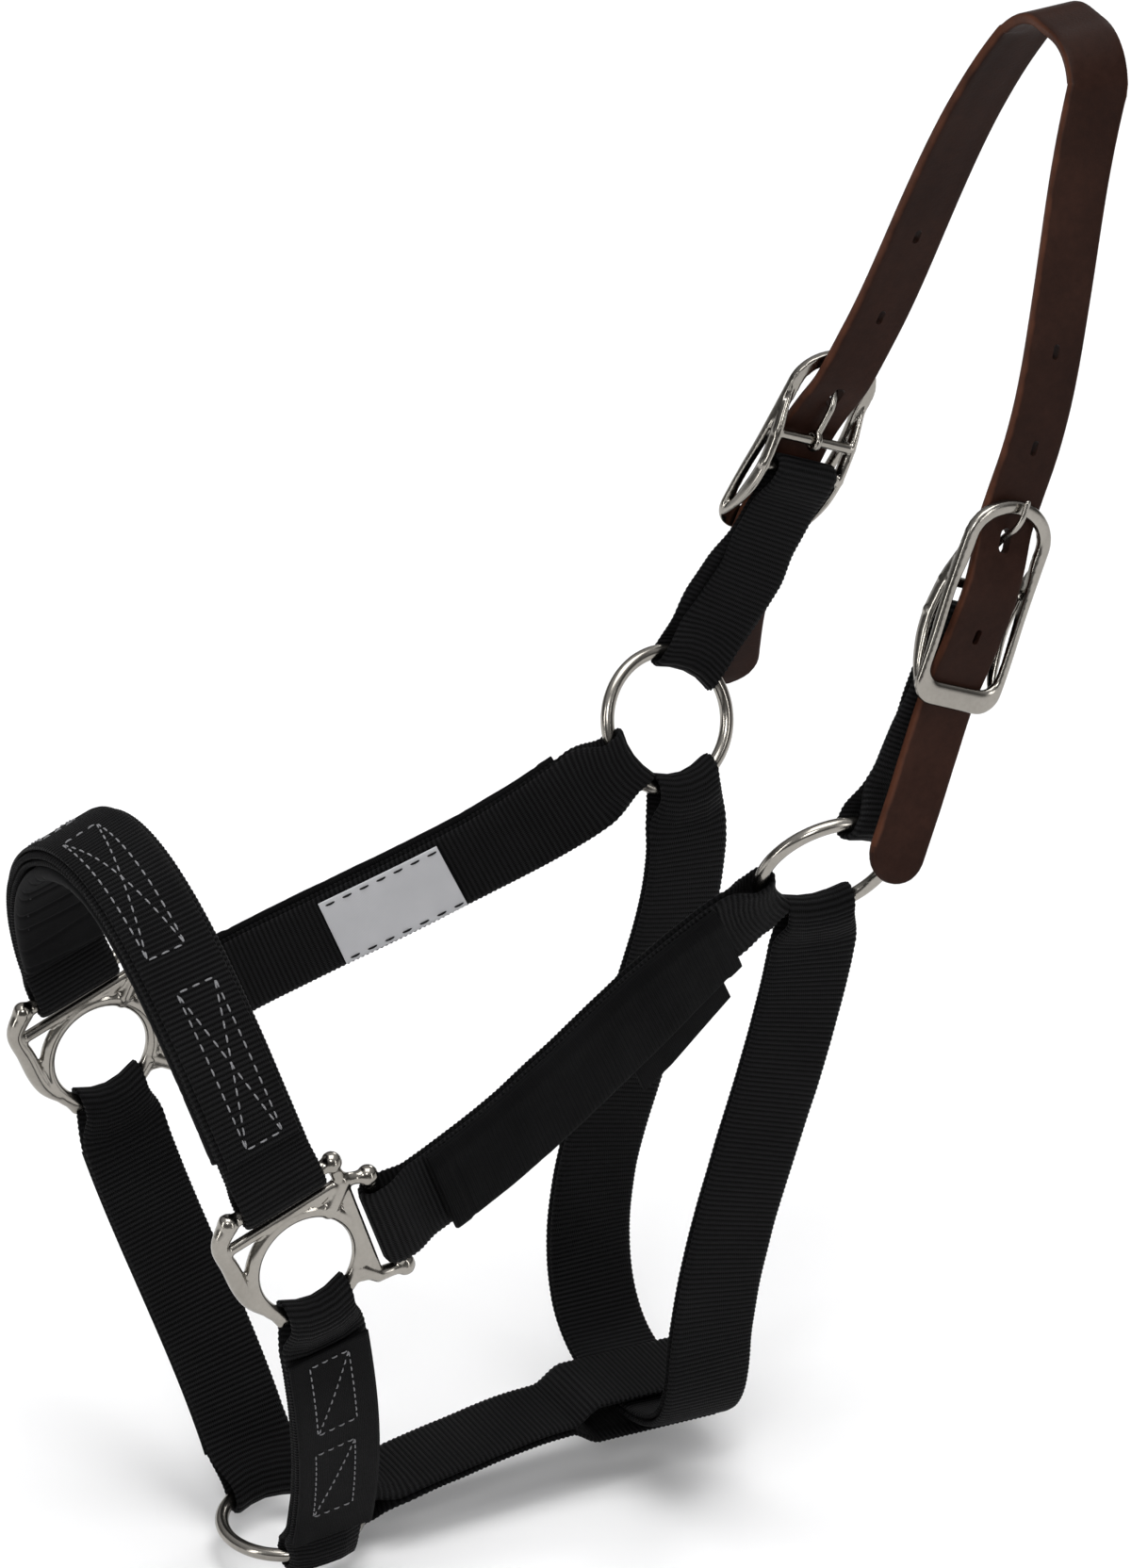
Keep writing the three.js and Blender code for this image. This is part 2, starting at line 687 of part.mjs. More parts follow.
function tongue() {
  const r = tongueWire / 2;
  const barAt = V(0, tongueBarOut, -tongueBarAlong);
  const eye = buckleBar + 0.35;
  const eyeThickness = 1.1;
  const collar = new THREE.Shape().absarc(0, 0, eye + eyeThickness, 0, 2 * Math.PI);
  collar.holes.push(new THREE.Path().absarc(0, 0, eye, 0, 2 * Math.PI, true));
  const ringed = new THREE.ExtrudeGeometry(collar, {
    depth: 2 * r,
    bevelEnabled: false,
    curveSegments: 10,
  });
  ringed.translate(0, 0, -r).rotateY(Math.PI / 2).translate(...barAt.toArray());
  const start = -tongueBarAlong + eye + eyeThickness / 2;
  const shank = wire(
    [
      V(0, tongueBarOut, start),
      V(0, tongueBarOut - 0.1, 11.5),
      V(0, tongueBarOut + 0.2, 14.6),
      V(0, 0.2, 18.6),
      V(0, 3.6, 22),
      V(0, archFront + 0.35 + r, 25.5),
      V(0, archFront + 0.35 + r, buckleLength / 2 + 1),
    ],
    r,
    24,
  );
  return placed(join([ringed, shank]), buckleAcross, buckleOut, buckleAxis.clone().negate(), buckleAt);
}

// The cast square, drawn with X forward along the cheek, Z up the nose and Y out.
function square() {
  const halfBar = webWidth / 2 + 0.6 + knobRadius;
  const noseA = V(halfBar + barShift, 0, barOffset);
  const noseB = V(-halfBar + barShift, 0, barOffset);
  const cheekA = V(-barOffset, 0, halfBar + 2 * barShift);
  const cheekB = V(-barOffset, 0, -halfBar + 2 * barShift);
  const eye = new THREE.TorusGeometry(eyeMiddle, eyeRim / 2, 8, 28).rotateX(Math.PI / 2);
  const rim = (angle) => {
    const turn = angle * degrees;
    return V(eyeMiddle * Math.cos(turn), 0, eyeMiddle * Math.sin(turn));
  };
  const arm = 1.9;
  const corner = V(-innerBarOffset, 0, innerBarOffset);
  const foot = V(-innerBarOffset, 0, 1 - innerBarOffset);
  const parts = [
    eye,
    rod(noseA, noseB, barRadius),
    rod(cheekA, cheekB, barRadius),
    ...[noseA, noseB, cheekA, cheekB].map((at) => ball(at, knobRadius)),
    rod(rim(135), corner, 2.4),
    rod(noseB, corner, arm),
    rod(cheekA, corner, arm),
    ball(corner, 2.4),
    rod(V(19, 0, innerBarOffset), corner, innerBarRadius),
    rod(corner, foot, innerBarRadius),
    rod(rim(-140), foot, arm),
    rod(foot, cheekB, arm),
    ball(foot, arm),
    wire([noseA, V(19.6, 0, 12), V(18.6, 0, 0), rim(-37)], 2.5, 10),
    ball(rim(-37), 2.5),
  ];
  return placed(join(parts), squareForward, across, squareUp, squareAt);
}

// ---------------------------------------------------------------- assembly

piece("crown_strap", crownStrap(), leather);
pair("buckle_frame", buckleFrame(), nickel);
pair("buckle_tongue", tongue(), nickel);
pair("throat_ring", roundRing(throatRingAt, throatRingNormal), nickel);
pair("square", square(), nickel);
piece("chin_ring", roundRing(chinRingAt, chinRingNormal), nickel);

const cheek = cheekRoute();
pair(
  "buckle_web",
  doubledWeb({
    route: buckleWebRoute(),
    start: loops.webBar,
    end: loops.buckleRing,
    width: buckleWebWidth,
    steps: 5,
  }),
  black,
);
pair(
  "cheek_web",
  doubledWeb({ route: cheek, start: loops.cheekRing, end: loops.cheekBar, steps: 10 }),
  black,
);

const coverFrom = mergeLength + 8;
const coverTo = cheek.length - mergeLength - 7;
const coverOffset = doubledHalf + seamGap + coverThickness / 2;
pair(
  "cheek_cover",
  strip({
    route: cheek,
    from: coverFrom,
    to: coverTo,
    offset: coverOffset,
    thickness: coverThickness,
    width: webWidth,
  }),
  black,
);

const labelLength = 37;
const labelWidth = 23;
const labelThickness = 0.6;
const labelMiddle = 0.53 * cheek.length;
piece(
  "size_label",
  mirrored(
    strip({
      route: cheek,
      from: labelMiddle - labelLength / 2,
      to: labelMiddle + labelLength / 2,
      offset: -(doubledHalf + seamGap + labelThickness / 2),
      thickness: labelThickness,
      width: labelWidth,
      steps: 5,
    }),
  ),
  satin,
);

const tagLength = 36;
const tagDrop = 9;
const tagThickness = 1;
const tagMiddle = 0.28 * cheek.length;
piece(
  "side_tag",
  strip({
    route: cheek,
    from: tagMiddle - tagLength / 2,
    to: tagMiddle + tagLength / 2,
    offset: doubledHalf,
    thickness: tagThickness,
    width: tagDrop,
    shift: -(webWidth + tagDrop) / 2 - plyGap,
    steps: 5,
  }),
  black,
);

const nose = noseRoute();
piece(
  "nose_web",
  doubledWeb({ route: nose, start: loops.noseBar, end: loops.noseBar, steps: 26 }),
  black,
);
const noseTrim = mergeLength + 7;
const overlayWidth = webWidth - 3;
piece(
  "nose_overlay",
  strip({
    route: nose,
    from: noseTrim,
    to: nose.length - noseTrim,
    offset: doubledHalf + seamGap + overlayThickness / 2,
    thickness: overlayThickness,
    width: overlayWidth,
    steps: 28,
  }),
  black,
);
piece(
  "nose_pad",
  strip({
    route: nose,
    from: noseTrim,
    to: nose.length - noseTrim,
    offset: -(doubledHalf + seamGap + padThickness / 2),
    thickness: padThickness,
    width: webWidth,
    steps: 28,
  }),
  black,
);

const chin = chinRoute();
pair(
  "chin_web",
  doubledWeb({ route: chin, start: loops.chinEye, end: loops.chinRing, steps: 8 }),
  black,
);
const patchMargin = mergeLength + 9;
pair(
  "chin_patch",
  strip({
    route: chin,
    from: patchMargin,
    to: chin.length - patchMargin + 4,
    offset: doubledHalf + seamGap + overlayThickness / 2,
    thickness: overlayThickness,
    width: webWidth,
    steps: 10,
  }),
  black,
);

piece(
  "throat_web",
  doubledWeb({ route: throatRoute(), start: loops.throatRing, end: loops.throatRing, steps: 34 }),
  black,
);
piece(
  "jaw_web",
  doubledWeb({ route: jawRoute(), start: loops.jawRing, end: jawRear, steps: 8 }),
  black,
);

export default headcollar;
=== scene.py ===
import bisect
import json
import math

import bmesh
import bpy
from mathutils import Matrix, Vector, noise

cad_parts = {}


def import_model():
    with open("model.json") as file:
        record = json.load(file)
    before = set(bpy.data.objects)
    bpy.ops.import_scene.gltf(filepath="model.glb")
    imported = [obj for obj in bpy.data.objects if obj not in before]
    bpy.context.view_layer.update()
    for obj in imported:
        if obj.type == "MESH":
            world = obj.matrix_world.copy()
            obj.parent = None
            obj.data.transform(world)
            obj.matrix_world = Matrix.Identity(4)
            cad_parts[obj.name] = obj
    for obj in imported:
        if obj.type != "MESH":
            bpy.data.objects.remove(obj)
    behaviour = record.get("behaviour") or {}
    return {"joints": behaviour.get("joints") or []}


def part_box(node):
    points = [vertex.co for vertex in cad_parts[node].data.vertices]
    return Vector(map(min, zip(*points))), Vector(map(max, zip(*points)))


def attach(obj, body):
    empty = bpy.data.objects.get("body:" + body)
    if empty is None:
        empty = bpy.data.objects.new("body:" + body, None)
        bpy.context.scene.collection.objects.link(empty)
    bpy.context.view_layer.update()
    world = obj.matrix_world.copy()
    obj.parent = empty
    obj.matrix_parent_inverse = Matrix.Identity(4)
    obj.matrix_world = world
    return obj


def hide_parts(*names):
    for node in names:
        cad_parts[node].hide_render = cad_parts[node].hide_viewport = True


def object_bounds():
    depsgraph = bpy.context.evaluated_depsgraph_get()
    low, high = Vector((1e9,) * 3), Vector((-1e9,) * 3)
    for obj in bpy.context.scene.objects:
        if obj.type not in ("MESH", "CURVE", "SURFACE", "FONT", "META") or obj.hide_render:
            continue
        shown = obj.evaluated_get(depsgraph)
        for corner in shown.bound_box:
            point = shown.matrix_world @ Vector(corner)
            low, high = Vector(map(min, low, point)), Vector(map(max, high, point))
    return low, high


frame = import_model()
cad_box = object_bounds()
MM = 0.001  # the model is laid out in millimetres below, and in metres in the scene

# ---------------- sizes, as in the CAD model

NOSE_RISE, NOSE_LEAN = 101, 26
THROAT_DROP, THROAT_SETFORWARD = 183, 31
WEB_WIDTH, WEB_THICKNESS, PLY_GAP = 25.4, 1.8, 0.3
LOOP_CLEARANCE, BAR_CLEARANCE = 0.7, 0.5
BUCKLE_WEB_WIDTH, GATHERED_WIDTH = 21, 18
CROWN_WIDTH, CROWN_THICKNESS, TAIL_LENGTH, POLL_FLAT = 17.5, 3.2, 80, 4
NEAR_TAIL_SWING, OFF_TAIL_SWING = 5, -22
HOLE_LENGTH, HOLE_WIDTH, HOLE_PITCH, HOLES_PER_SIDE, FIRST_HOLE = 7, 3.6, 27, 4, 8
SPARE_HOLE_LENGTH, SPARE_HOLE_WIDTH, CREASE_DEPTH = 4.4, 1.9, 0.13
PAD_THICKNESS, COVER_THICKNESS, OVERLAY_THICKNESS = 5, 2.6, 1.2
RING_WIRE, RING_RADIUS, EYE_RADIUS, EYE_RIM = 4, 19.3, 14, 4.5
SQUARE_ANGLE, BAR_OFFSET, BAR_RADIUS, BAR_SHIFT, KNOB_RADIUS = 19.5, 25.2, 2.1, -0.8, 3.2
BUCKLE_LENGTH, BUCKLE_BAR, WEB_BAR, RAIL_THICKNESS, RAIL_CLEARANCE = 60, 1.5, 1.7, 3, 0.9
TONGUE_WIRE = 2.2
MERGE_LENGTH = 9

HALF_PLY = (WEB_THICKNESS + PLY_GAP) / 2
DOUBLED_HALF = WEB_THICKNESS + PLY_GAP / 2
RIB_PITCH, RIB_HEIGHT, WARP_PITCH = 1.45, 0.26, 0.58  # ribs of the web's weft, threads of its warp
SIDES = (("near", False), ("off", True))  # each side's name, and whether it is mirrored


def V(x, y, z):
    return Vector((x, y, z))


def unit(v):
    return v.normalized()


def square_to(v, axis):
    return (v - axis * v.dot(axis)).normalized()


def smooth(x):
    t = min(max(x, 0), 1)
    return t * t * (3 - 2 * t)


def mix(a, b, t):
    return a + (b - a) * t


# ---------------- places, from the frame


def middle_of(node):
    low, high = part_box(node)
    return (Vector(low) + Vector(high)) / 2 / MM


ALONG_HORSE, ACROSS = V(1, 0, 0), V(0, 1, 0)
throat_ring_at = middle_of("near_throat_ring")
throat_ring_normal = unit(V(0.1, 0.9, -0.42))
chin_ring_at = middle_of("chin_ring")
chin_ring_normal = unit(V(0.06, 0, 1))
chin_hinge = next(Vector(j["pos_m"]) for j in frame["joints"] if j["name"] == "chin_swing") / MM
square_at = V(chin_hinge.x, middle_of("near_square").y, chin_hinge.z)
angle = math.radians(SQUARE_ANGLE)
square_forward = V(math.cos(angle), 0, -math.sin(angle))
square_up = V(math.sin(angle), 0, math.cos(angle))
nose_crest = V(square_at.x + NOSE_LEAN, 0, square_at.z + NOSE_RISE)
throat_bottom = V(throat_ring_at.x + THROAT_SETFORWARD, 0, throat_ring_at.z - THROAT_DROP)
buckle_axis = unit(V(0.43, 0.12, -0.895))
buckle_across = unit(V(0.9, 0, 0.43) + buckle_axis * -0.0022)
buckle_out = unit(buckle_across.cross(buckle_axis))
buckle_at = throat_ring_at + V(-45, 3.9, 73.4)

TONGUE_BAR, TONGUE_BAR_OUT, WEB_BAR_ALONG, WEB_BAR_OUT = -3.2, -2.5, 6.4, -4
ARCH_BACK, ARCH_FRONT, KEEPER_THICKNESS, KEEPER_WIDTH = 0.7, 3.7, 2.4, 6
LEATHER_GAP, LEATHER_AT_KEEPER = 0.4, 0.25
KEEPER_BACK = LEATHER_AT_KEEPER + CROWN_THICKNESS / 2 + LEATHER_GAP
LEATHER_AT_ARCH = ARCH_BACK - LEATHER_GAP - LEATHER_AT_KEEPER - CROWN_THICKNESS / 2
ARCH_RISE = 0.4  # of the strap where it starts to climb from the arch to the tongue bar


def in_buckle(along, out, sideways=0):
    return buckle_at + buckle_axis * along + buckle_out * out + buckle_across * sideways


# ---------------- objects and node trees


def in_scene(name, data):
    made = bpy.data.objects.new(name, data)
    bpy.context.scene.collection.objects.link(made)
    return made


def evaluated(made):
    """The mesh of an object once its modifiers have run."""
    bpy.context.view_layer.update()
    return bpy.data.meshes.new_from_object(made.evaluated_get(bpy.context.evaluated_depsgraph_get()))


class Graph:
    """Short helpers for the nodes of a material or of the world."""

    def __init__(self, owner):
        owner.use_nodes = True
        self.nodes, self.links = owner.node_tree.nodes, owner.node_tree.links

    def node(self, kind, inputs=None, **settings):
        made = self.nodes.new("ShaderNode" + kind)
        for key, value in settings.items():
            setattr(made, key, value)
        for key, value in (inputs or {}).items():
            if isinstance(value, bpy.types.NodeSocket):
                self.links.new(value, made.inputs[key])
            else:
                made.inputs[key].default_value = value
        return made

    def math(self, operation, *values):
        return self.node("Math", dict(enumerate(values)), operation=operation).outputs[0]

    def add(self, a, b):
        return self.math("ADD", a, b)

    def times(self, a, b):
        return self.math("MULTIPLY", a, b)

    def blend(self, a, share_a, b, share_b):
        return self.add(self.times(a, share_a), self.times(b, share_b))

    def scaled(self, value, by, plus):
        return self.math("MULTIPLY_ADD", value, by, plus)

    def ramp(self, value, *stops):
        node = self.node("ValToRGB", {0: value})
        elements = node.color_ramp.elements
        while len(elements) < len(stops):
            elements.new(0.5)
        for element, (position, colour) in zip(elements, stops):
            element.position, element.color = position, (*colour, 1)
        return node.outputs[0]


# ---------------- camera, light and floor

CAMERA_TURN, CAMERA_TILT = 62.5, 29.5  # degrees round from the headcollar's front, and above level
CAMERA_DISTANCE, CAMERA_LENS = 4.0, 466
LIT_CENTRE = (0.15, 0, -0.2)
FLOOR_HALF, FLOOR_DROP = 30, 0.004
LIGHTS = (  # name, place, size, power
    ("overhead", (0.3, 0.3, 3.2), (2.6, 2.6), 92),
    ("key", (1.5, 2.0, 1.6), (0.8, 0.8), 22),
    ("front_strip", (2.6, 0.2, 0.5), (0.25, 1.6), 13),
    ("rim", (-1.8, -1.6, 1.3), (0.9, 0.5), 14),
    ("side_strip", (-0.9, 2.6, 0.5), (0.25, 1.4), 9),
)


def camera():
    turn, tilt = math.radians(CAMERA_TURN), math.radians(CAMERA_TILT)
    right = V(-math.sin(turn), math.cos(turn), 0)
    back = V(math.cos(tilt) * math.cos(turn), math.cos(tilt) * math.sin(turn), math.sin(tilt))
    up = back.cross(right)
    aim = V(0.1565, 0, -0.1957) + right * 0.00207 + up * 0.00116
    data = bpy.data.cameras.new("camera")
    data.lens, data.sensor_width, data.sensor_fit = CAMERA_LENS, 36, "HORIZONTAL"
    data.clip_start, data.clip_end = 0.1, 60
    made = in_scene("camera", data)
    made.matrix_world = Matrix((right, up, back)).transposed().to_4x4()
    made.location = aim + back * CAMERA_DISTANCE
    bpy.context.scene.camera = made


def lights():
    for name, at, size, power in LIGHTS:
        data = bpy.data.lights.new(name, "AREA")
        data.shape, data.energy = "RECTANGLE", power
        data.size, data.size_y = size
        made = in_scene(name, data)
        made.location = at
        made.rotation_euler = (Vector(LIT_CENTRE) - Vector(at)).to_track_quat("-Z", "Y").to_euler()


def world():
    """A dark band at eye height between a pale floor and ceiling, and an even grey for the camera."""
    made = bpy.data.worlds.new("studio")
    bpy.context.scene.world = made
    g = Graph(made)
    split = g.node("SeparateXYZ", {0: g.node("TexCoord").outputs["Generated"]})
    height = g.scaled(split.outputs["Z"], 0.5, 0.5)
    room = g.ramp(
        height, (0.42, (0.4, 0.39, 0.375)), (0.56, (0.05, 0.048, 0.045)), (0.9, (0.58, 0.58, 0.59))
    )
    lit = g.node("Background", {"Color": room, "Strength": 1.0})
    backdrop = g.node("Background", {"Color": (0.4, 0.4, 0.4, 1)})
    seen = g.node("LightPath").outputs["Is Camera Ray"]
    choose = g.node("MixShader", {0: seen, 1: lit.outputs[0], 2: backdrop.outputs[0]})
    g.links.new(choose.outputs[0], g.nodes["World Output"].inputs["Surface"])


def floor():
    mesh = bpy.data.meshes.new("floor")
    low = cad_box[0][2] - FLOOR_DROP
    corners = [(x * FLOOR_HALF, y * FLOOR_HALF, low) for x, y in ((-1, -1), (1, -1), (1, 1), (-1, 1))]
    mesh.from_pydata(corners, [], [(0, 1, 2, 3)])
    paper = Finish("floor_paper", Base_Color=(0.86, 0.86, 0.86, 1), Roughness=0.95)
    mesh.materials.append(paper.material)
    in_scene("floor", mesh)


# ---------------- materials


class Finish(Graph):
    """A material, with short helpers for its nodes."""

    def __init__(self, name, **sockets):
        self.material = bpy.data.materials.new(name)
        super().__init__(self.material)
        self.shader = self.nodes["Principled BSDF"]
        for socket, value in sockets.items():
            self.shader.inputs[socket.replace("_", " ")].default_value = value

    def axis(self, which):
        """The place on the cloth in mm: X along the strap, Y over it."""
        place = self.node("UVMap", uv_map="strap").outputs[0]
        return self.node("SeparateXYZ", {0: place}).outputs[which]

    def in_object(self):
        return self.node("TexCoord").outputs["Object"]

    def noise(self, scale, detail=4, rough=0.5):
        inputs = {"Scale": scale, "Detail": detail, "Roughness": rough, "Vector": self.in_object()}
        return self.node("TexNoise", inputs).outputs["Fac"]

    def cells(self, scale):
        inputs = {"Scale": scale, "Vector": self.in_object()}
        return self.node("TexVoronoi", inputs, feature="DISTANCE_TO_EDGE").outputs["Distance"]

    def threads(self, value, pitch):
        """One round ridge for each thread."""
        return self.math("ABSOLUTE", self.math("SINE", self.times(value, math.pi / pitch)))

    def bump(self, height, distance, strength=1.0, after=None):
        inputs = {"Distance": distance * MM, "Strength": strength, "Height": height}
        if after is not None:
            inputs["Normal"] = after
        return self.node("Bump", inputs).outputs[0]

    def done(self, colour, roughness, normal=None):
        for socket, value in (("Base Color", colour), ("Roughness", roughness), ("Normal", normal)):
            if value is not None:
                self.links.new(value, self.shader.inputs[socket])
        return self.material


def web_finish():
    """Black nylon web: warp threads run along the strap over the ribs of the weft."""
    f = Finish("nylon_web", Sheen_Weight=0.004, Sheen_Roughness=0.4, Specular_IOR_Level=0.07)
    along, over = f.axis("X"), f.axis("Y")
    rib = f.scaled(f.math("COSINE", f.times(along, 2 * math.pi / RIB_PITCH)), 0.5, 0.5)
    row = f.math("FLOOR", f.math("DIVIDE", along, RIB_PITCH))
    shift = f.times(f.math("MODULO", row, 2), WARP_PITCH / 2)
    thread = f.threads(f.add(over, shift), WARP_PITCH)
    fluff, patches = f.noise(1400, 3), f.noise(45, 3)
    # The raised tops of ribs and threads are painted lighter: partly dust on the weave, partly a painted
    # sheen highlight.
    tone = f.add(f.times(rib, f.scaled(thread, 0.6, 0.4)), f.scaled(patches, 0.5, -0.25))
    colour = f.ramp(tone, (0.1, (0.0004, 0.0004, 0.0005)), (0.9, (0.0085, 0.0085, 0.009)))
    height = f.add(f.blend(rib, 0.6, thread, 0.5), f.times(fluff, 0.25))
    return f.done(colour, f.scaled(fluff, 0.24, 0.46), f.bump(height, 0.22))


def cover_finish():
    """Close plain weave of the sewn patches and covers."""
    f = Finish("cover_fabric", Sheen_Weight=0.006, Sheen_Roughness=0.5, Specular_IOR_Level=0.05)
    weave = f.times(f.threads(f.axis("X"), 0.62), f.threads(f.axis("Y"), 0.5))
    fluff, patches = f.noise(1200, 3), f.noise(60)
    tone = f.add(f.times(weave, 0.7), f.scaled(patches, 0.7, -0.3))
    colour = f.ramp(tone, (0.1, (0.0005, 0.0005, 0.0006)), (0.9, (0.007, 0.007, 0.0075)))
    height = f.add(weave, f.times(fluff, 0.3))
    return f.done(colour, f.scaled(fluff, 0.2, 0.62), f.bump(height, 0.1, 0.8))


def lining_finish():
    """Soft brushed lining."""
    f = Finish("padded_lining", Sheen_Weight=0.01, Sheen_Roughness=0.6, Specular_IOR_Level=0.05)
    nap, patches = f.noise(900), f.noise(70)
    tone = f.blend(nap, 0.5, patches, 0.5)
    colour = f.ramp(tone, (0.2, (0.001, 0.001, 0.0011)), (0.8, (0.006, 0.006, 0.0065)))
    return f.done(colour, f.scaled(nap, 0.2, 0.72), f.bump(nap, 0.18, 0.6))


def leather_finish():
    """Dark brown bridle leather, lighter and redder where its cut edges show."""
    f = Finish("crown_leather", Specular_IOR_Level=0.06)
    mottle, fine = f.noise(38, 5), f.noise(420, 5, 0.65)
    tone = f.blend(mottle, 0.65, fine, 0.35)
    dark, brown, light = (0.0125, 0.0052, 0.0036), (0.0205, 0.0086, 0.0058), (0.031, 0.0128, 0.0085)
    face = f.ramp(tone, (0.3, dark), (0.52, brown), (0.72, light))
    wear = f.add(f.math("ABSOLUTE", f.axis("Y")), f.scaled(f.noise(160), 1.6, -0.8))
    worn = f.math("MAXIMUM", f.scaled(wear, 0.9, -0.9 * (CROWN_WIDTH / 2 - 0.7)), 0)
    edge = f.math("SMOOTH_MIN", worn, 1, 0.1)
    mixed = f.node("Mix", data_type="RGBA")
    f.links.new(edge, mixed.inputs["Factor"])
    f.links.new(face, mixed.inputs[6])
    mixed.inputs[7].default_value = (0.075, 0.027, 0.0145, 1)
    grain = f.bump(f.cells(900), 0.09, 0.5)
    return f.done(mixed.outputs[2], f.scaled(fine, 0.3, 0.3), f.bump(fine, 0.12, 0.45, grain))


def nickel_finish():
    """Polished nickel plate with faint handling marks."""
    f = Finish("nickel_plate", Metallic=1.0)
    cloud, fine = f.noise(60), f.noise(900, 3)
    tone = f.blend(cloud, 0.7, fine, 0.3)
    colour = f.ramp(tone, (0.25, (0.235, 0.22, 0.195)), (0.75, (0.36, 0.34, 0.308)))
    return f.done(colour, f.scaled(tone, 0.22, 0.09), f.bump(fine, 0.015, 0.35))


def satin_finish():
    f = Finish("satin_label", Specular_IOR_Level=0.5, Sheen_Weight=0.15)
    rows, cloud = f.threads(f.axis("X"), 0.35), f.noise(80, 3)
    tone = f.blend(rows, 0.3, cloud, 0.7)
    colour = f.ramp(tone, (0.15, (0.36, 0.36, 0.375)), (0.85, (0.47, 0.47, 0.485)))
    return f.done(colour, f.scaled(cloud, 0.15, 0.32), f.bump(rows, 0.05, 0.4))


def thread_finish(name, dark, light):
    f = Finish(name, Sheen_Weight=0.03, Specular_IOR_Level=0.15)
    twist = f.noise(2600, 2)
    return f.done(f.ramp(twist, (0.3, dark), (0.7, light)), f.scaled(twist, 0.2, 0.5))


WEB, COVER, LINING, LEATHER = web_finish(), cover_finish(), lining_finish(), leather_finish()
NICKEL, SATIN = nickel_finish(), satin_finish()
GREY_THREAD = thread_finish("grey_thread", (0.12, 0.12, 0.125), (0.24, 0.24, 0.25))
BLACK_THREAD = thread_finish("black_thread", (0.002, 0.002, 0.002), (0.008, 0.008, 0.0085))

# ---------------- meshes


def put(name, mesh, finish, body, slot, *nodes):
    """Adds a mesh as a piece that rides a body and stands for nodes of the CAD, which it hides. slot is not
    used.
    """
    mesh.materials.append(finish)
    made = in_scene(name, mesh)
    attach(made, body)
    if nodes:
        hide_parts(*nodes)
    return made


def mesh_from(name, points, faces, marks=None, mirror=False):
    """A smooth mesh from points in mm. marks are (along, over) in mm, one per face corner."""
    if mirror:
        points = [V(p.x, -p.y, p.z) for p in points]
        faces = [tuple(reversed(f)) for f in faces]
        marks = [tuple(reversed(m)) for m in marks] if marks else None
    mesh = bpy.data.meshes.new(name)
    mesh.from_pydata([p * MM for p in points], [], faces)
    if marks:
        layer = mesh.uv_layers.new(name="strap")
        flat = [value for face in marks for mark in face for value in mark]
        layer.data.foreach_set("uv", flat)
    mesh.shade_smooth()
    mesh.update()
    return mesh


def caps(rings, sides):
    base = (rings - 1) * sides
    return [tuple(range(sides - 1, -1, -1)), tuple(range(base, base + sides))]


def skin(name, rings, marks, closed, mirror=False):
    """Skins rings of points. marks[i][k] is the cloth's (along, over) at point k of ring i."""
    count, size = len(rings), len(rings[0])
    points = [p for ring in rings for p in ring]
    faces, corners = [], []
    total = marks[-1][0][0] + (marks[1][0][0] - marks[0][0][0])
    for i in range(count if closed else count - 1):
        j = (i + 1) % count
        for k in range(size):
            n = (k + 1) % size
            faces.append((i * size + k, i * size + n, j * size + n, j * size + k))
            (here, over), after = marks[i][k], total if j == 0 else marks[j][k][0]
            last = over + 1 if n == 0 else marks[i][n][1]
            corners.append(((here, over), (here, last), (after, last), (after, over)))
    if not closed:
        faces += caps(count, size)
        corners += [tuple(reversed(marks[0])), tuple(marks[-1])]
    return facing_out(mesh_from(name, points, faces, corners, mirror))


def tube_faces(rings, sides):
    """The faces of a capped tube whose points lie ring after ring."""
    faces = []
    for i in range(rings - 1):
        for k in range(sides):
            n = (k + 1) % sides
            faces.append((i * sides + k, i * sides + n, (i + 1) * sides + n, (i + 1) * sides + k))
    return faces + caps(rings, sides)


def hoop(at, x, y, normal, radius, wire, big, small, stretch=1.0):
    """Points and faces of a closed ring. wire gives its radius at each turn round the ring."""
    points, faces = [], []
    for i in range(big):
        turn = 2 * math.pi * i / big
        way, thick = x * math.cos(turn) + y * math.sin(turn), wire(turn)
        here, after = i * small, (i + 1) % big * small
        for k in range(small):
            roll, n = 2 * math.pi * k / small, (k + 1) % small
            spot = way * (radius + thick * math.cos(roll)) + normal * (thick * stretch * math.sin(roll))
            points.append(at + spot)
            faces.append((here + k, here + n, after + n, after + k))
    return points, faces


def facing_out(mesh):
    work = bmesh.new()
    work.from_mesh(mesh)
    if work.calc_volume(signed=True) < 0:
        bmesh.ops.reverse_faces(work, faces=work.faces)
    work.to_mesh(mesh)
    work.free()
    return mesh


# ---------------- routes

BEZIER_STEPS, CATMULL_STEPS = 400, 40  # before the points are set at even distances


def distances(points):
    """How far along the line each of its points lies."""
    marks = [0.0]
    for a, b in zip(points, points[1:]):
        marks.append(marks[-1] + (b - a).length)
    return marks


class Route:
    """The middle line of a strap with the direction across it at each place."""

    def __init__(self, points, *keys):
        self.points, self.keys, self.marks = points, keys, distances(points)
        self.length = self.marks[-1]
        last = len(points) - 1
        self.tangents = [unit(points[min(i + 1, last)] - points[max(i - 1, 0)]) for i in range(last + 1)]

    def at(self, s):
        i = min(max(bisect.bisect_right(self.marks, s) - 1, 0), len(self.points) - 2)
        step = self.marks[i + 1] - self.marks[i]
        share = (s - self.marks[i]) / step
        inside = min(max(share, 0), 1)
        along = unit(self.tangents[i].lerp(self.tangents[i + 1], inside))
        place = self.points[i].lerp(self.points[i + 1], inside) + along * ((share - inside) * step)
        turn = min(max(s / self.length, 0), 1) * (len(self.keys) - 1)
        key = min(int(turn), len(self.keys) - 2)
        side = square_to(self.keys[key].lerp(self.keys[key + 1], turn - key), along)
        return place, along, side, side.cross(along)


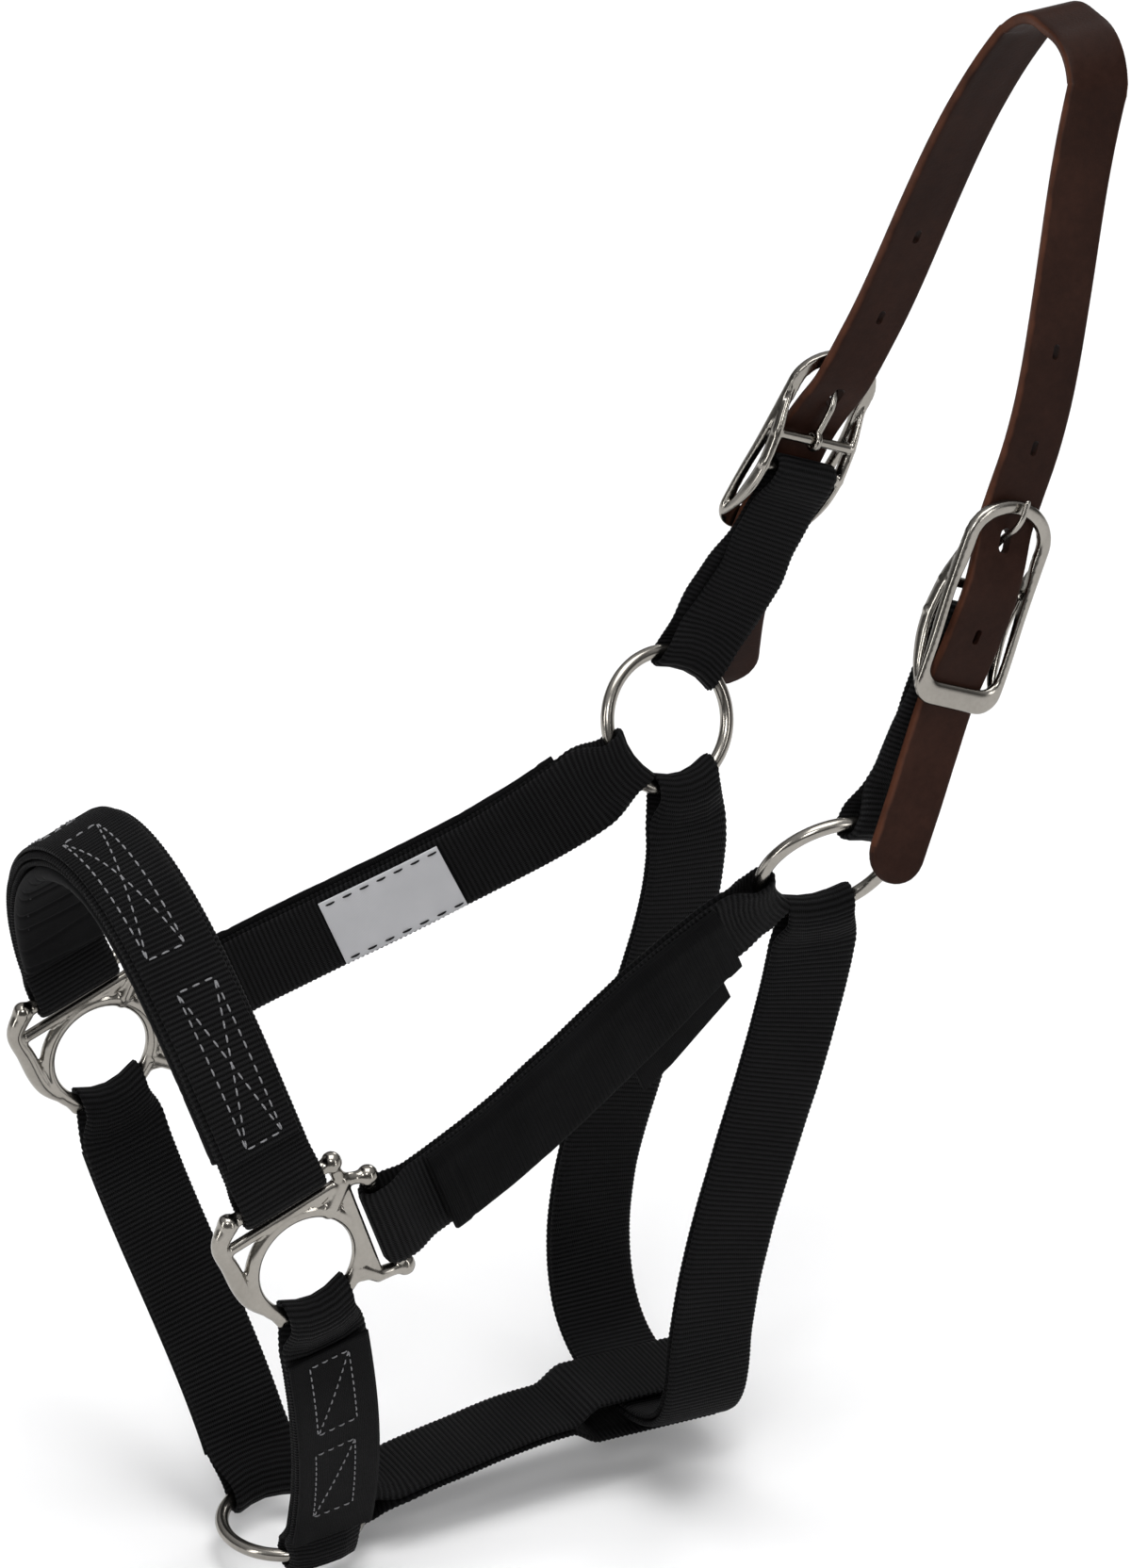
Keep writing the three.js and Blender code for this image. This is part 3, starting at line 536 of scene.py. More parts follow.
def evenly(points, count):
    """The line again, with its points at even distances."""
    marks, out, i = distances(points), [], 0
    for k in range(count + 1):
        s = marks[-1] * k / count
        while i < len(points) - 2 and marks[i + 1] < s:
            i += 1
        out.append(points[i].lerp(points[i + 1], (s - marks[i]) / max(marks[i + 1] - marks[i], 1e-9)))
    return out


def bezier(a, b, c, d, count):
    def point(t):
        u = 1 - t
        return a * (u * u * u) + b * (3 * u * u * t) + c * (3 * u * t * t) + d * (t * t * t)

    return evenly([point(k / BEZIER_STEPS) for k in range(BEZIER_STEPS + 1)], count)


def catmull(points, count):
    """Centripetal Catmull-Rom through the points."""
    line = [points[0] * 2 - points[1], *points, points[-1] * 2 - points[-2]]
    fine = []
    for k in range(1, len(line) - 2):
        p0, p1, p2, p3 = line[k - 1 : k + 3]
        t0, t1 = 0.0, (p1 - p0).length ** 0.5
        t2 = t1 + (p2 - p1).length ** 0.5
        t3 = t2 + (p3 - p2).length ** 0.5
        for n in range(CATMULL_STEPS):
            t = t1 + (t2 - t1) * n / CATMULL_STEPS
            a1 = p0.lerp(p1, (t - t0) / (t1 - t0))
            a2 = p1.lerp(p2, (t - t1) / (t2 - t1))
            a3 = p2.lerp(p3, (t - t2) / (t3 - t2))
            b1 = a1.lerp(a2, (t - t0) / (t2 - t0))
            b2 = a2.lerp(a3, (t - t1) / (t3 - t1))
            fine.append(b1.lerp(b2, (t - t1) / (t2 - t1)))
    fine.append(points[-1])
    return evenly(fine, count)


def between(a, leave_a, b, leave_b, count, share_a=1 / 3, share_b=1 / 3):
    reach = (a - b).length
    return bezier(a, a + leave_a * (share_a * reach), b + leave_b * (share_b * reach), b, count)


# ---------------- what the web folds round


class Loop:
    """The fold of a web round a bar, or round a curved wire whose centre lies against outward."""

    def __init__(self, at, across, radius, width, leave=None, outward=None, curve=None,
                 clearance=BAR_CLEARANCE):
        self.at, self.across, self.width, self.leave = at, across, width, leave
        self.half, self.outward, self.curve = radius + clearance, outward, curve

    def bend(self, sideways):
        """How the fold moves towards the ring's centre away from the strap's middle."""
        if self.curve is None:
            return V(0, 0, 0)
        reach = min(abs(sideways), 0.9 * self.curve)
        return self.outward * (math.sqrt(self.curve**2 - reach**2) - self.curve)

    def mirrored(self):
        flip = Matrix.Diagonal((1, -1, 1))
        return Loop(flip @ self.at, flip @ self.across, self.half, self.width, flip @ self.leave,
                    flip @ self.outward, self.curve, 0)


def on_ring(centre, normal, radius, degrees):
    """A place on a ring: (place, outward, tangent).

    The degrees run from the ring's front over its top, or by the near side if it lies level."""
    forward = square_to(ALONG_HORSE, normal)
    up = unit(forward.cross(normal))
    if normal.z > 0.5:
        up.negate()
    turn = math.radians(degrees)
    outward = forward * math.cos(turn) + up * math.sin(turn)
    tangent = up * math.cos(turn) - forward * math.sin(turn)
    return centre + outward * radius, outward, tangent


def ring_loop(spot, pull, width, wire=RING_WIRE / 2, curve=RING_RADIUS):
    place, outward, tangent = spot
    leave = square_to(pull, tangent)
    return Loop(place, tangent, wire, width, leave, outward, curve, LOOP_CLEARANCE)


def throat_spot(degrees):
    return on_ring(throat_ring_at, throat_ring_normal, RING_RADIUS, degrees)


def chin_spot(degrees):
    return on_ring(chin_ring_at, chin_ring_normal, RING_RADIUS, degrees)


eye_middle = EYE_RADIUS + EYE_RIM / 2
chin_pull = unit(V(chin_ring_at.x - square_at.x, 0, chin_ring_at.z - square_at.z))
eye_spot = (square_at + chin_pull * eye_middle, chin_pull, V(-chin_pull.z, 0, chin_pull.x))
web_bar_loop = Loop(in_buckle(WEB_BAR_ALONG, WEB_BAR_OUT), buckle_across, WEB_BAR, BUCKLE_WEB_WIDTH - 1)
buckle_ring_loop = ring_loop(throat_spot(125), unit(V(-0.56, -0.1, 0.81)), GATHERED_WIDTH + 1.5)
cheek_ring_loop = ring_loop(throat_spot(-27), unit(V(0.93, 0.06, -0.34)), GATHERED_WIDTH - 1)
throat_ring_loop = ring_loop(throat_spot(-94), unit(V(0.05, -0.2, -0.98)), GATHERED_WIDTH + 1.5)
cheek_bar_loop = Loop(
    square_at - square_forward * BAR_OFFSET + square_up * (BAR_SHIFT * 2), square_up, BAR_RADIUS, WEB_WIDTH
)
nose_bar_loop = Loop(
    square_at + square_up * BAR_OFFSET + square_forward * BAR_SHIFT, square_forward, BAR_RADIUS, WEB_WIDTH
)
chin_eye_pull = unit(chin_pull + V(0, -0.12, 0))
chin_eye_loop = ring_loop(eye_spot, chin_eye_pull, GATHERED_WIDTH + 1.5, EYE_RIM / 2, eye_middle)
chin_ring_loop = ring_loop(chin_spot(90), unit(V(0.06, 0.42, 0.9)), GATHERED_WIDTH + 3)
jaw_ring_loop = ring_loop(chin_spot(180), unit(V(-1, 0, 0.28)), GATHERED_WIDTH + 1)


def cheek_route():
    start = cheek_ring_loop
    points = between(start.at, start.leave, cheek_bar_loop.at, -square_forward, 120)
    return Route(points, start.across, square_up, square_up, square_up)


def buckle_web_route():
    end = buckle_ring_loop
    points = between(web_bar_loop.at, buckle_axis, end.at, end.leave, 60)
    return Route(points, buckle_across, -end.across)


def chin_route():
    start, end = chin_eye_loop, chin_ring_loop
    return Route(between(start.at, start.leave, end.at, end.leave, 90), start.across, -end.across)


def mirrored_points(points):
    """The same line on the off side, run the other way."""
    return [V(p.x, -p.y, p.z) for p in reversed(points)]


def to_off_side(points):
    return points + mirrored_points(points[:-1])


def nose_route():
    points = between(nose_bar_loop.at, square_up, nose_crest, ACROSS, 100, 0.46, 0.31)
    return Route(to_off_side(points), -square_forward, -square_forward)


def throat_route():
    across = unit(V(0.998, 0, 0.06))
    corner = V(throat_bottom.x - 1, 0.78 * throat_ring_at.y, throat_bottom.z + 31)
    start = throat_ring_loop
    side = between(start.at, start.leave, corner, unit(V(-0.04, 0.05, 1)), 80)
    bottom = between(corner, unit(V(0.02, -0.02, -1)), throat_bottom, ACROSS, 50, 0.5, 0.52)
    tangent = start.across
    off = V(tangent.x, -tangent.y, tangent.z)
    return Route(to_off_side(side + bottom[1:]), tangent, across, across, across, off)


JAW_SLACK = 2.8
jaw_rear_loop = Loop(
    V(throat_bottom.x + WEB_WIDTH / 2 + JAW_SLACK, 0, throat_bottom.z),
    ACROSS, DOUBLED_HALF + JAW_SLACK, WEB_WIDTH, clearance=0,
)
JAW_BACK = WEB_WIDTH + 2 * JAW_SLACK  # how far the rear loop reaches behind its front end


def jaw_route():
    start = jaw_ring_loop
    points = between(start.at, start.leave, jaw_rear_loop.at, unit(V(1, 0, 0.04)), 80)
    return Route(points, ACROSS, ACROSS)


# ---------------- doubled web

STRAIGHT_STEPS, BACK_STEPS, TURN_STEPS, LINE_STEPS = 500, 20, 30, 4000


def loop_path(length, start, end, back=0.0):
    """Closed (along, height) line of a web drawn round both ends, in steps of a quarter rib."""
    ply = WEB_THICKNESS / 2
    near, far = start.half + ply, end.half + ply

    def layer(s):
        start_share = 1 - smooth((s - start.half) / MERGE_LENGTH)
        end_share = 1 - smooth((length - s - end.half) / MERGE_LENGTH)
        return HALF_PLY + (near - HALF_PLY) * start_share + (far - HALF_PLY) * end_share

    straight = [length * k / STRAIGHT_STEPS for k in range(STRAIGHT_STEPS + 1)]
    extra = [length + back * k / BACK_STEPS for k in range(1, BACK_STEPS + 1)] if back else []
    turns = [math.pi * k / TURN_STEPS for k in range(1, TURN_STEPS)]
    path = [(s, layer(s)) for s in straight] + [(s, far) for s in extra]
    path += [(length + back + far * math.sin(turn), far * math.cos(turn)) for turn in turns]
    path += [(s, -far) for s in reversed(extra)] + [(s, -layer(s)) for s in reversed(straight)]
    path += [(-near * math.sin(turn), -near * math.cos(turn)) for turn in turns]
    line = evenly([V(s, h, 0) for s, h in path + path[:1]], LINE_STEPS)
    ribs = round(distances(line)[-1] / RIB_PITCH)
    return evenly(line, 4 * ribs)[:-1]


SECTION = [  # a web's section: share of the half width, height, and how much of a rib it carries
    (-0.97, 0.62, 0.7), (-0.86, 1, 1), (-0.45, 1, 1), (0, 1, 1), (0.45, 1, 1), (0.86, 1, 1),
    (0.97, 0.62, 0.7), (1, 0, 0.4), (0.97, -0.7, 0.3), (0.6, -1, 0), (-0.6, -1, 0),
    (-0.97, -0.7, 0.3), (-1, 0, 0.4),
]
SLIP_FROM = 22  # from the start of a web whose layers lie apart, clear of the buckle's rails
RIB_SPREAD, PUCKER, UNEVEN = 0.22, 0.22, 0.18  # of the edges at a rib, of gathered ends, of the faces
BACK_MARK = 40  # sets the weave of an inner face off from the outer face's


def web(name, route, start, end, width, body, node, back=0.0, mirror=False, seed=0.0, crease=0.0, sway=0.35,
        slip=0.0):
    """A doubled web whose outer face carries ribs, gathered where it folds round a curved wire.

    slip is how far its two layers lie apart sideways between its ends."""
    path, length = loop_path(route.length, start, end, back), route.length
    rings, marks = [], []
    for i, here in enumerate(path):
        s, h = here.x, here.y
        step = unit(path[(i + 1) % len(path)] - path[i - 1])
        place, along, side, out = route.at(s)
        gaps = (s - start.half, length - s - end.half)
        near_start, near_end = (1 - smooth(gap / (1.8 * MERGE_LENGTH)) for gap in gaps)
        narrow_start, narrow_end = (1 - smooth((gap + 1) / (1.25 * MERGE_LENGTH)) for gap in gaps)
        half = mix(mix(width, start.width, narrow_start), end.width, narrow_end) / 2
        free = 1 - max(near_start, near_end)
        rib = 0.5 + 0.5 * math.cos(0.5 * math.pi * i)
        spread = RIB_SPREAD * (rib - 0.5)
        wander = noise.noise(V(s * 0.045, seed, 3)) * sway * free
        pucker = PUCKER * ((near_start if start.curve else 0) + (near_end if end.curve else 0))
        slipped = math.copysign(slip / 2, h) * smooth((s - SLIP_FROM) / 12) * (1 - near_end)
        ring, mark = [], []
        for share, rise, ribbed in SECTION:
            sideways = share * half
            if abs(share) > 0.9:
                sideways += spread if share > 0 else -spread
            over = rise * WEB_THICKNESS / 2 + ribbed * RIB_HEIGHT * (rib - 0.6)
            if rise > 0:
                over += pucker * math.cos(sideways * 1.7 + seed)
            if rise > 0.5:
                over -= crease * math.exp(-((share + 0.12) / 0.09) ** 2) * (1 - near_end)
            flat = noise.noise(V(s * 0.09, share * 1.3, seed + (7 if h > 0 else 0))) * UNEVEN
            height = h + step.x * over + wander + flat * free
            p = place - along * (step.y * over) + out * height + side * (sideways + slipped)
            ring.append(p + start.bend(sideways) * near_start + end.bend(sideways) * near_end)
            mark.append((i * RIB_PITCH / 4, share * half + (BACK_MARK if rise < 0 else 0)))
        rings.append(ring)
        marks.append(mark)
    return put(name, skin(name, rings, marks, True, mirror), WEB, body, "nylon_web", node)


# ---------------- flat pieces sewn on


SLAB_SECTION = [  # share of the half width, and how much of the full thickness it has there
    (-1, 0.2), (-0.98, 0.7), (-0.9, 0.96), (-0.7, 1), (-0.45, 1), (-0.2, 1), (0, 1),
    (0.2, 1), (0.45, 1), (0.7, 1), (0.9, 0.96), (0.98, 0.7), (1, 0.2),
]
SLAB_ENDS = [(0.0, 0.35), (0.12, 0.75), (0.4, 0.95)]  # the same at a rounded end, by share of round_by
SLAB_BACK_MARK = 60


def slab(name, route, start, stop, offset, thickness, width, finish, body, slot, node, mirror=False,
         shift=0.0, round_by=0.9, step=1.0, relief=None, ribs=0.0):
    """A flat piece along a route, with rounded edges and ends. relief(s, share) raises its outer face."""
    count = max(int((stop - start) / step), 6)
    order = [(start + round_by * a, b) for a, b in SLAB_ENDS]
    order += [(start + (stop - start) * k / count, 1) for k in range(1, count)]
    order += [(stop - round_by * a, b) for a, b in reversed(SLAB_ENDS)]
    rings, marks = [], []
    for s, full in sorted(order):
        place, along, side, out = route.at(s)
        rib = ribs * 0.5 * math.cos(2 * math.pi * s / RIB_PITCH)
        ring, mark = [], []
        for share, up in SLAB_SECTION:
            lift = thickness / 2 * up * full + (relief(s, share) * full if relief else 0) + rib * (up > 0.9)
            ring.append(place + out * (offset + lift) + side * (shift + share * width / 2))
            mark.append((s, share * width / 2))
        for share, up in reversed(SLAB_SECTION):
            depth = offset - thickness / 2 * up * full
            ring.append(place + out * depth + side * (shift + share * width / 2))
            mark.append((s, share * width / 2 + SLAB_BACK_MARK))
        rings.append(ring)
        marks.append(mark)
    return put(name, skin(name, rings, marks, False, mirror), finish, body, slot, node)


# each place along a stitch, with its height in mm and its share of the thread's radius
STITCH = ((0, -0.18, 0.45), (0.16, 0.05, 0.85), (0.5, 0.16, 1), (0.84, 0.05, 0.85), (1, -0.18, 0.45))


class Thread:
    """Rows of sewn stitches, gathered into one mesh."""

    def __init__(self):
        self.points, self.faces = [], []

    def stitch(self, a, b, out, radius):
        side = unit(b - a).cross(out)
        base, sides = len(self.points), 6
        for share, height, size in STITCH:
            middle = a.lerp(b, share) + out * height
            for k in range(sides):
                turn = 2 * math.pi * k / sides
                self.points.append(middle + (side * math.cos(turn) + out * math.sin(turn)) * radius * size)
        self.faces += [tuple(base + k for k in face) for face in tube_faces(len(STITCH), sides)]

    def row(self, surface, corners, length=2.3, gap=1.15, radius=0.27):
        """Stitches along straight runs between (along, sideways) corners on a surface."""
        for (s0, w0), (s1, w1) in zip(corners, corners[1:]):
            run = math.hypot(s1 - s0, w1 - w0)
            count = max(round(run / (length + gap)), 1)
            for k in range(count):
                t0, t1 = (k + 0.12) / count, (k + 0.12 + length / (length + gap) * 0.95) / count
                a, out = surface(mix(s0, s1, t0), mix(w0, w1, t0))
                b, _ = surface(mix(s0, s1, t1), mix(w0, w1, t1))
                self.stitch(a, b, out, radius * min(run / count / (length + gap), 1.1))

    def make(self, name, finish, body, mirror=False):
        mesh = facing_out(mesh_from(name, self.points, self.faces, None, mirror))
        return put(name, mesh, finish, body, None)


def box(low, high, middle, half):
    """The corners of a box of stitches, ending where it starts."""
    left, right = middle - half, middle + half
    return [(low, left), (low, right), (high, right), (high, left), (low, left)]


def face_of(route, height):
    """A strap's outer face, or its inner face where the height is below zero."""
    def surface(s, w):
        place, _, side, out = route.at(s)
        return place + out * height + side * w, out if height > 0 else -out

    return surface


# ---------------- cast and bent metal


class Casting:
    """Closed shapes that are fused into one smooth casting."""

    def __init__(self):
        self.work = bmesh.new()

    def add(self, points, faces):
        made = [self.work.verts.new(p) for p in points]
        for face in faces:
            self.work.faces.new([made[i] for i in face])

    def tube(self, points, radii, sides=16, flat=1.0, flat_way=ACROSS):
        """A round-ended rod through points, each with its own radius."""
        if isinstance(radii, (int, float)):
            radii = [radii] * len(points)
        rings = []
        for i, p in enumerate(points):
            tangent = unit(points[min(i + 1, len(points) - 1)] - points[max(i - 1, 0)])
            up = square_to(flat_way, tangent)
            rings.append((p, tangent, up, tangent.cross(up), radii[i]))
        ends = [(k, math.cos(math.asin(k))) for k in (0.15, 0.5, 0.8)]
        stations = [(rings[0], -rings[0][4] * ahead, k) for k, ahead in ends]
        stations += [(ring, 0.0, 1.0) for ring in rings]
        stations += [(rings[-1], rings[-1][4] * ahead, k) for k, ahead in reversed(ends)]
        made = []
        for (p, tangent, up, side, radius), ahead, size in stations:
            for k in range(sides):
                turn = 2 * math.pi * k / sides
                offset = up * (math.sin(turn) * flat) + side * math.cos(turn)
                made.append(p + tangent * ahead + offset * (radius * size))
        self.add(made, tube_faces(len(stations), sides))

    def ball(self, at, radius):
        self.tube([at - V(0, 0, 0.01), at + V(0, 0, 0.01)], radius, 20)

    def torus(self, at, x, y, radius, wire, stretch=1.0):
        self.add(*hoop(at, x, y, x.cross(y), radius, lambda turn: wire, 72, 18, stretch))

    def band(self, stations):
        """A ring skinned over outlines of the same number of points, the last joined to the first."""
        size, count = len(stations[0]), len(stations)
        faces = []
        for i in range(count):
            here, after = i * size, (i + 1) % count * size
            for k in range(size):
                n = (k + 1) % size
                faces.append((here + n, here + k, after + k, after + n))
        self.add([p for station in stations for p in station], faces)

    def plate(self, outline, at, x, y, normal, low, high):
        """A flat plate whose outline is given in two directions."""
        bottom = [at + x * a + y * b + normal * low for a, b in outline]
        top = [p + normal * (high - low) for p in bottom]
        n = len(outline)
        faces = [tuple(range(n - 1, -1, -1)), tuple(range(n, 2 * n))]
        faces += [(i, (i + 1) % n, n + (i + 1) % n, n + i) for i in range(n)]
        self.add(bottom + top, faces)

    def as_mesh(self, name):
        bmesh.ops.recalc_face_normals(self.work, faces=self.work.faces)
        mesh = bpy.data.meshes.new(name)
        self.work.to_mesh(mesh)
        self.work.free()
        return mesh

    def cast(self, name, voxel, rounds, mirror=False):
        """Fuses the shapes, rounds their meeting corners, and returns a mesh."""
        holder = in_scene(name + "_shapes", self.as_mesh(name + "_shapes"))
        fuse = holder.modifiers.new("fuse", "REMESH")
        fuse.mode, fuse.voxel_size, fuse.use_smooth_shade = "VOXEL", voxel, True
        ease = holder.modifiers.new("ease", "SMOOTH")
        ease.factor, ease.iterations = 0.5, rounds
        made = evaluated(holder)
        bpy.data.meshes.remove(holder.data)
        made.transform(Matrix.Diagonal((MM, -MM if mirror else MM, MM, 1)))
        if mirror:
            made.flip_normals()
        made.shade_smooth()
        made.name = name
        return facing_out(made)


def round_ring(name, centre, normal, body, node, mirror=False):
    """A bent and welded wire ring, a touch thicker at its weld."""
    def wire(turn):
        return RING_WIRE / 2 - 0.08 + 0.12 * math.exp(-((turn - 3.9) / 0.035) ** 2)

    forward = square_to(ALONG_HORSE, normal)
    points, faces = hoop(centre, forward, normal.cross(forward), normal, RING_RADIUS, wire, 128, 24)
    mesh = facing_out(mesh_from(name, points, faces, None, mirror))
    return put(name, mesh, NICKEL, body, "nickel_plate", node)


INNER_BAR, INNER_BAR_RADIUS = 17.4, 1.65  # straight bars of a square that touch its eye


def halter_square(name, node, mirror=False):
    """The cast square: a round eye, two strap bars that end in knobs and a heavy front leg."""
    def at(forward, up):
        return square_at + square_forward * forward + square_up * up

    def rim(degrees, more=0.0):
        turn = math.radians(degrees)
        return at((eye_middle + more) * math.cos(turn), (eye_middle + more) * math.sin(turn))

    half_bar = WEB_WIDTH / 2 + 0.6 + KNOB_RADIUS
    nose_front, nose_back = (at(way * half_bar + BAR_SHIFT, BAR_OFFSET) for way in (1, -1))
    cheek_top, cheek_foot = (at(-BAR_OFFSET, way * half_bar + 2 * BAR_SHIFT) for way in (1, -1))
    corner, foot = at(-INNER_BAR - 0.6, INNER_BAR + 0.6), at(-INNER_BAR, -INNER_BAR + 1)
    c = Casting()
    c.torus(square_at, square_forward, square_up, eye_middle, EYE_RIM / 2 - 0.05, 0.9)
    c.tube([nose_front, nose_back], BAR_RADIUS)
    c.tube([cheek_top, cheek_foot], BAR_RADIUS)
    for knob in (nose_front, nose_back, cheek_top, cheek_foot):
        c.ball(knob, KNOB_RADIUS - 0.1)
    c.tube([nose_back, nose_back.lerp(corner, 0.5) + square_forward * 0.3, corner], [2.3, 1.8, 2.2])
    c.tube([cheek_top, cheek_top.lerp(corner, 0.5), corner], [2.3, 1.8, 2.2])
    c.ball(corner, 2.6)
    c.tube([corner, rim(135, 1), rim(135, -0.6)], [2.5, 2.5, 2.0])
    c.tube([rim(160), corner, rim(110)], 1.5)
    c.tube([at(19.4, INNER_BAR), corner], INNER_BAR_RADIUS)
    c.tube([corner, foot], INNER_BAR_RADIUS)
    c.tube([rim(-140, 0.4), foot, foot.lerp(cheek_foot, 0.5), cheek_foot], [2.4, 2.3, 1.9, 2.2])
    c.tube([rim(-160), foot, rim(-129)], 1.7)
    leg = catmull([nose_front, at(20.3, 20), at(19.8, 12), at(18.6, 0), rim(-30, 0.4), rim(-46, 2.4)], 30)
    sizes = [mix(2.8, 2.3, smooth(k / 7)) + 0.35 * math.exp(-((k - 14) / 6) ** 2) for k in range(31)]
    c.tube(leg, [size * mix(1, 0.55, smooth((k - 20) / 10)) for k, size in enumerate(sizes)])
    return put(name, c.cast(name, 0.4, 7, mirror), NICKEL, "cheeks", "nickel_plate", node)


FLANGE = 1.1  # how far the buckle's arch reaches in past its rails


def oblong_half(half, bottom, corner, shoulder, arch, pinch=0):
    """Half an oblong, from the middle of its lower edge round to the top of its arch."""
    points = [((half - corner) * k / 4, bottom) for k in range(4)]
    for k in range(9):
        turn = math.pi / 2 * k / 8
        points.append((half - corner + corner * math.sin(turn), bottom + corner * (1 - math.cos(turn))))
    for k in range(1, 16):
        points.append((half - pinch * smooth((k - 9) / 6), mix(bottom + corner, shoulder, k / 16)))
    for k in range(17):
        turn = math.pi / 2 * k / 16
        points.append(((half - pinch) * math.cos(turn), shoulder + arch * math.sin(turn)))
    return points


def buckle_frame(name, node, mirror=False):
    """A halter buckle frame: a flat oblong ring in front, and a bow behind each side for the bars."""
    inner = BUCKLE_WEB_WIDTH / 2 + RAIL_CLEARANCE
    outer, top = inner + RAIL_THICKNESS - 0.2, BUCKLE_LENGTH / 2
    shoulder = top - 12.5
    keeper_front = KEEPER_BACK + KEEPER_THICKNESS
    rim = oblong_half(outer, -top - 0.4, 6.5, shoulder, 12.3)
    hole = oblong_half(
        inner + 0.1, KEEPER_WIDTH + 0.4 - top, 4.6, shoulder, 12.5 - RAIL_THICKNESS - FLANGE, FLANGE
    )
    around = [(a, b, 1) for a, b in zip(rim, hole)]
    around += [(a, b, -1) for a, b, _ in reversed(around[1:-1])]
    c = Casting()
    stations = []
    for (rim_x, rim_up), (hole_x, hole_up), way in around:
        lift = smooth((2 - rim_up) / 22)
        front, back = mix(ARCH_FRONT, keeper_front, lift) - 0.1, mix(ARCH_BACK, KEEPER_BACK, lift) + 0.1
        section = (  # share of the way in from rim to hole, and place out of the buckle
            (0, back), (0, front - 0.8), (0.12, front - 0.25), (0.3, front), (0.75, front),
            (0.92, front - 0.3), (1, front - 0.9), (1, back),
        )
        stations.append([
            in_buckle(-mix(rim_up, hole_up, share), out, way * mix(rim_x, hole_x, share))
            for share, out in section
        ])
    c.band(stations)
    side = inner + RAIL_THICKNESS / 2 - 0.1
    bow = catmull([V(out, 0, up) for out, up in (
        (2.2, 18), (1.6, 14.5), (0, 9), (-1.9, 3.2), (-3, -2), (-3.6, -6.4), (-3.2, -12), (-2, -17),
        (-0.6, -21), (1.2, -24), (2.8, -26),
    )], 44)
    sizes = [mix(1.3, 2.3, smooth(k / 14) * smooth((44 - k) / 14)) for k in range(45)]
    for way in (1, -1):
        c.tube([in_buckle(-p.z, p.x, way * side) for p in bow], sizes, flat=0.6, flat_way=buckle_across)
    reach = inner + RAIL_THICKNESS / 2
    bars = ((TONGUE_BAR, TONGUE_BAR_OUT, BUCKLE_BAR), (WEB_BAR_ALONG, WEB_BAR_OUT, WEB_BAR))
    for along, out, radius in bars:
        c.tube([in_buckle(along, out, -reach), in_buckle(along, out, reach)], radius)
    return put(name, c.cast(name, 0.32, 14, mirror), NICKEL, "crown", "nickel_plate", node)


def buckle_pin(name, node, body, mirror=False):
    """The tongue: its eye turns on the upper bar, and its tip rests on the arch."""
    radius = TONGUE_WIRE / 2
    eye = BUCKLE_BAR + 0.95
    bar = in_buckle(TONGUE_BAR, TONGUE_BAR_OUT)
    c = Casting()
    c.torus(bar, buckle_axis, buckle_out, eye, 0.62, 1.7)
    rest = ARCH_FRONT + 0.35 + radius
    path = [
        in_buckle(TONGUE_BAR - eye, TONGUE_BAR_OUT), in_buckle(-11.5, TONGUE_BAR_OUT - 0.1),
        in_buckle(-14.6, TONGUE_BAR_OUT + 0.2), in_buckle(-18.6, 0.2), in_buckle(-22, 3.6),
        in_buckle(-25.5, rest), in_buckle(-BUCKLE_LENGTH / 2 - 0.2, rest - 0.1),
    ]
    line = catmull(path, 40)
    c.tube(line, [mix(radius - 0.08, 0.85, smooth(k / 40)) for k in range(41)], flat_way=buckle_across)
    return put(name, c.cast(name, 0.2, 4, mirror), NICKEL, body, "nickel_plate", node)


# ---------------- leather crown strap


def crown_points(tail_swing):
    keeper_along = BUCKLE_LENGTH / 2 - 2
    run = [
        (TAIL_LENGTH, 9.4), (70, 7.2), (58, 4.9), (44, 2.2), (keeper_along, LEATHER_AT_KEEPER), (16, 1.6),
        (WEB_BAR_ALONG, 2.4), (TONGUE_BAR, 2.6), (-12, 1.2), (-21, LEATHER_AT_ARCH + ARCH_RISE),
        (1.5 - BUCKLE_LENGTH / 2, LEATHER_AT_ARCH), (-8 - BUCKLE_LENGTH / 2, LEATHER_AT_ARCH),
    ]
    swung = []
    for along, out in run:
        past = max((along - keeper_along) / (TAIL_LENGTH - keeper_along), 0)
        swung.append(in_buckle(along, out, tail_swing * past**1.4))
    lower = catmull(swung, 110)
    top, half = lower[-1], CROWN_THICKNESS / 2
    over_end = V(top.x * 0.07, 20, -8.5)
    over = bezier(V(0, POLL_FLAT, half), V(0, 10, half), V(0.5, 15.8, -1.6), over_end, 24)
    side = bezier(over_end, V(top.x * 0.5, 32, top.z * 0.36), top - buckle_axis * 30, top, 70)
    flat = [V(0, y, half) for y in (POLL_FLAT * 0.7, POLL_FLAT * 0.4)]
    return lower + side[-2::-1] + over[-2::-1] + flat


def leather_section(half_width, half_thick):
    """Rounded cut edges, and a faint crease in the face beside each edge: (sideways, height)."""
    r = min(1.0, half_width * 0.6)
    flat = half_width - r
    face, edge = [], []
    for share in (-1, -0.8, -0.4, 0, 0.4, 0.8, 1):
        creased = abs(share) == 0.8 and half_width > 6
        face.append((share * flat, half_thick - (CREASE_DEPTH if creased else 0)))
    for degrees in (65, 40, 15, -15, -40, -65):
        turn = math.radians(degrees)
        edge.append((flat + r * math.cos(turn), math.copysign(half_thick - r, degrees) + r * math.sin(turn)))
    return face + edge + [(-w, -half_thick) for w, _ in face] + [(-w, -h) for w, h in edge]


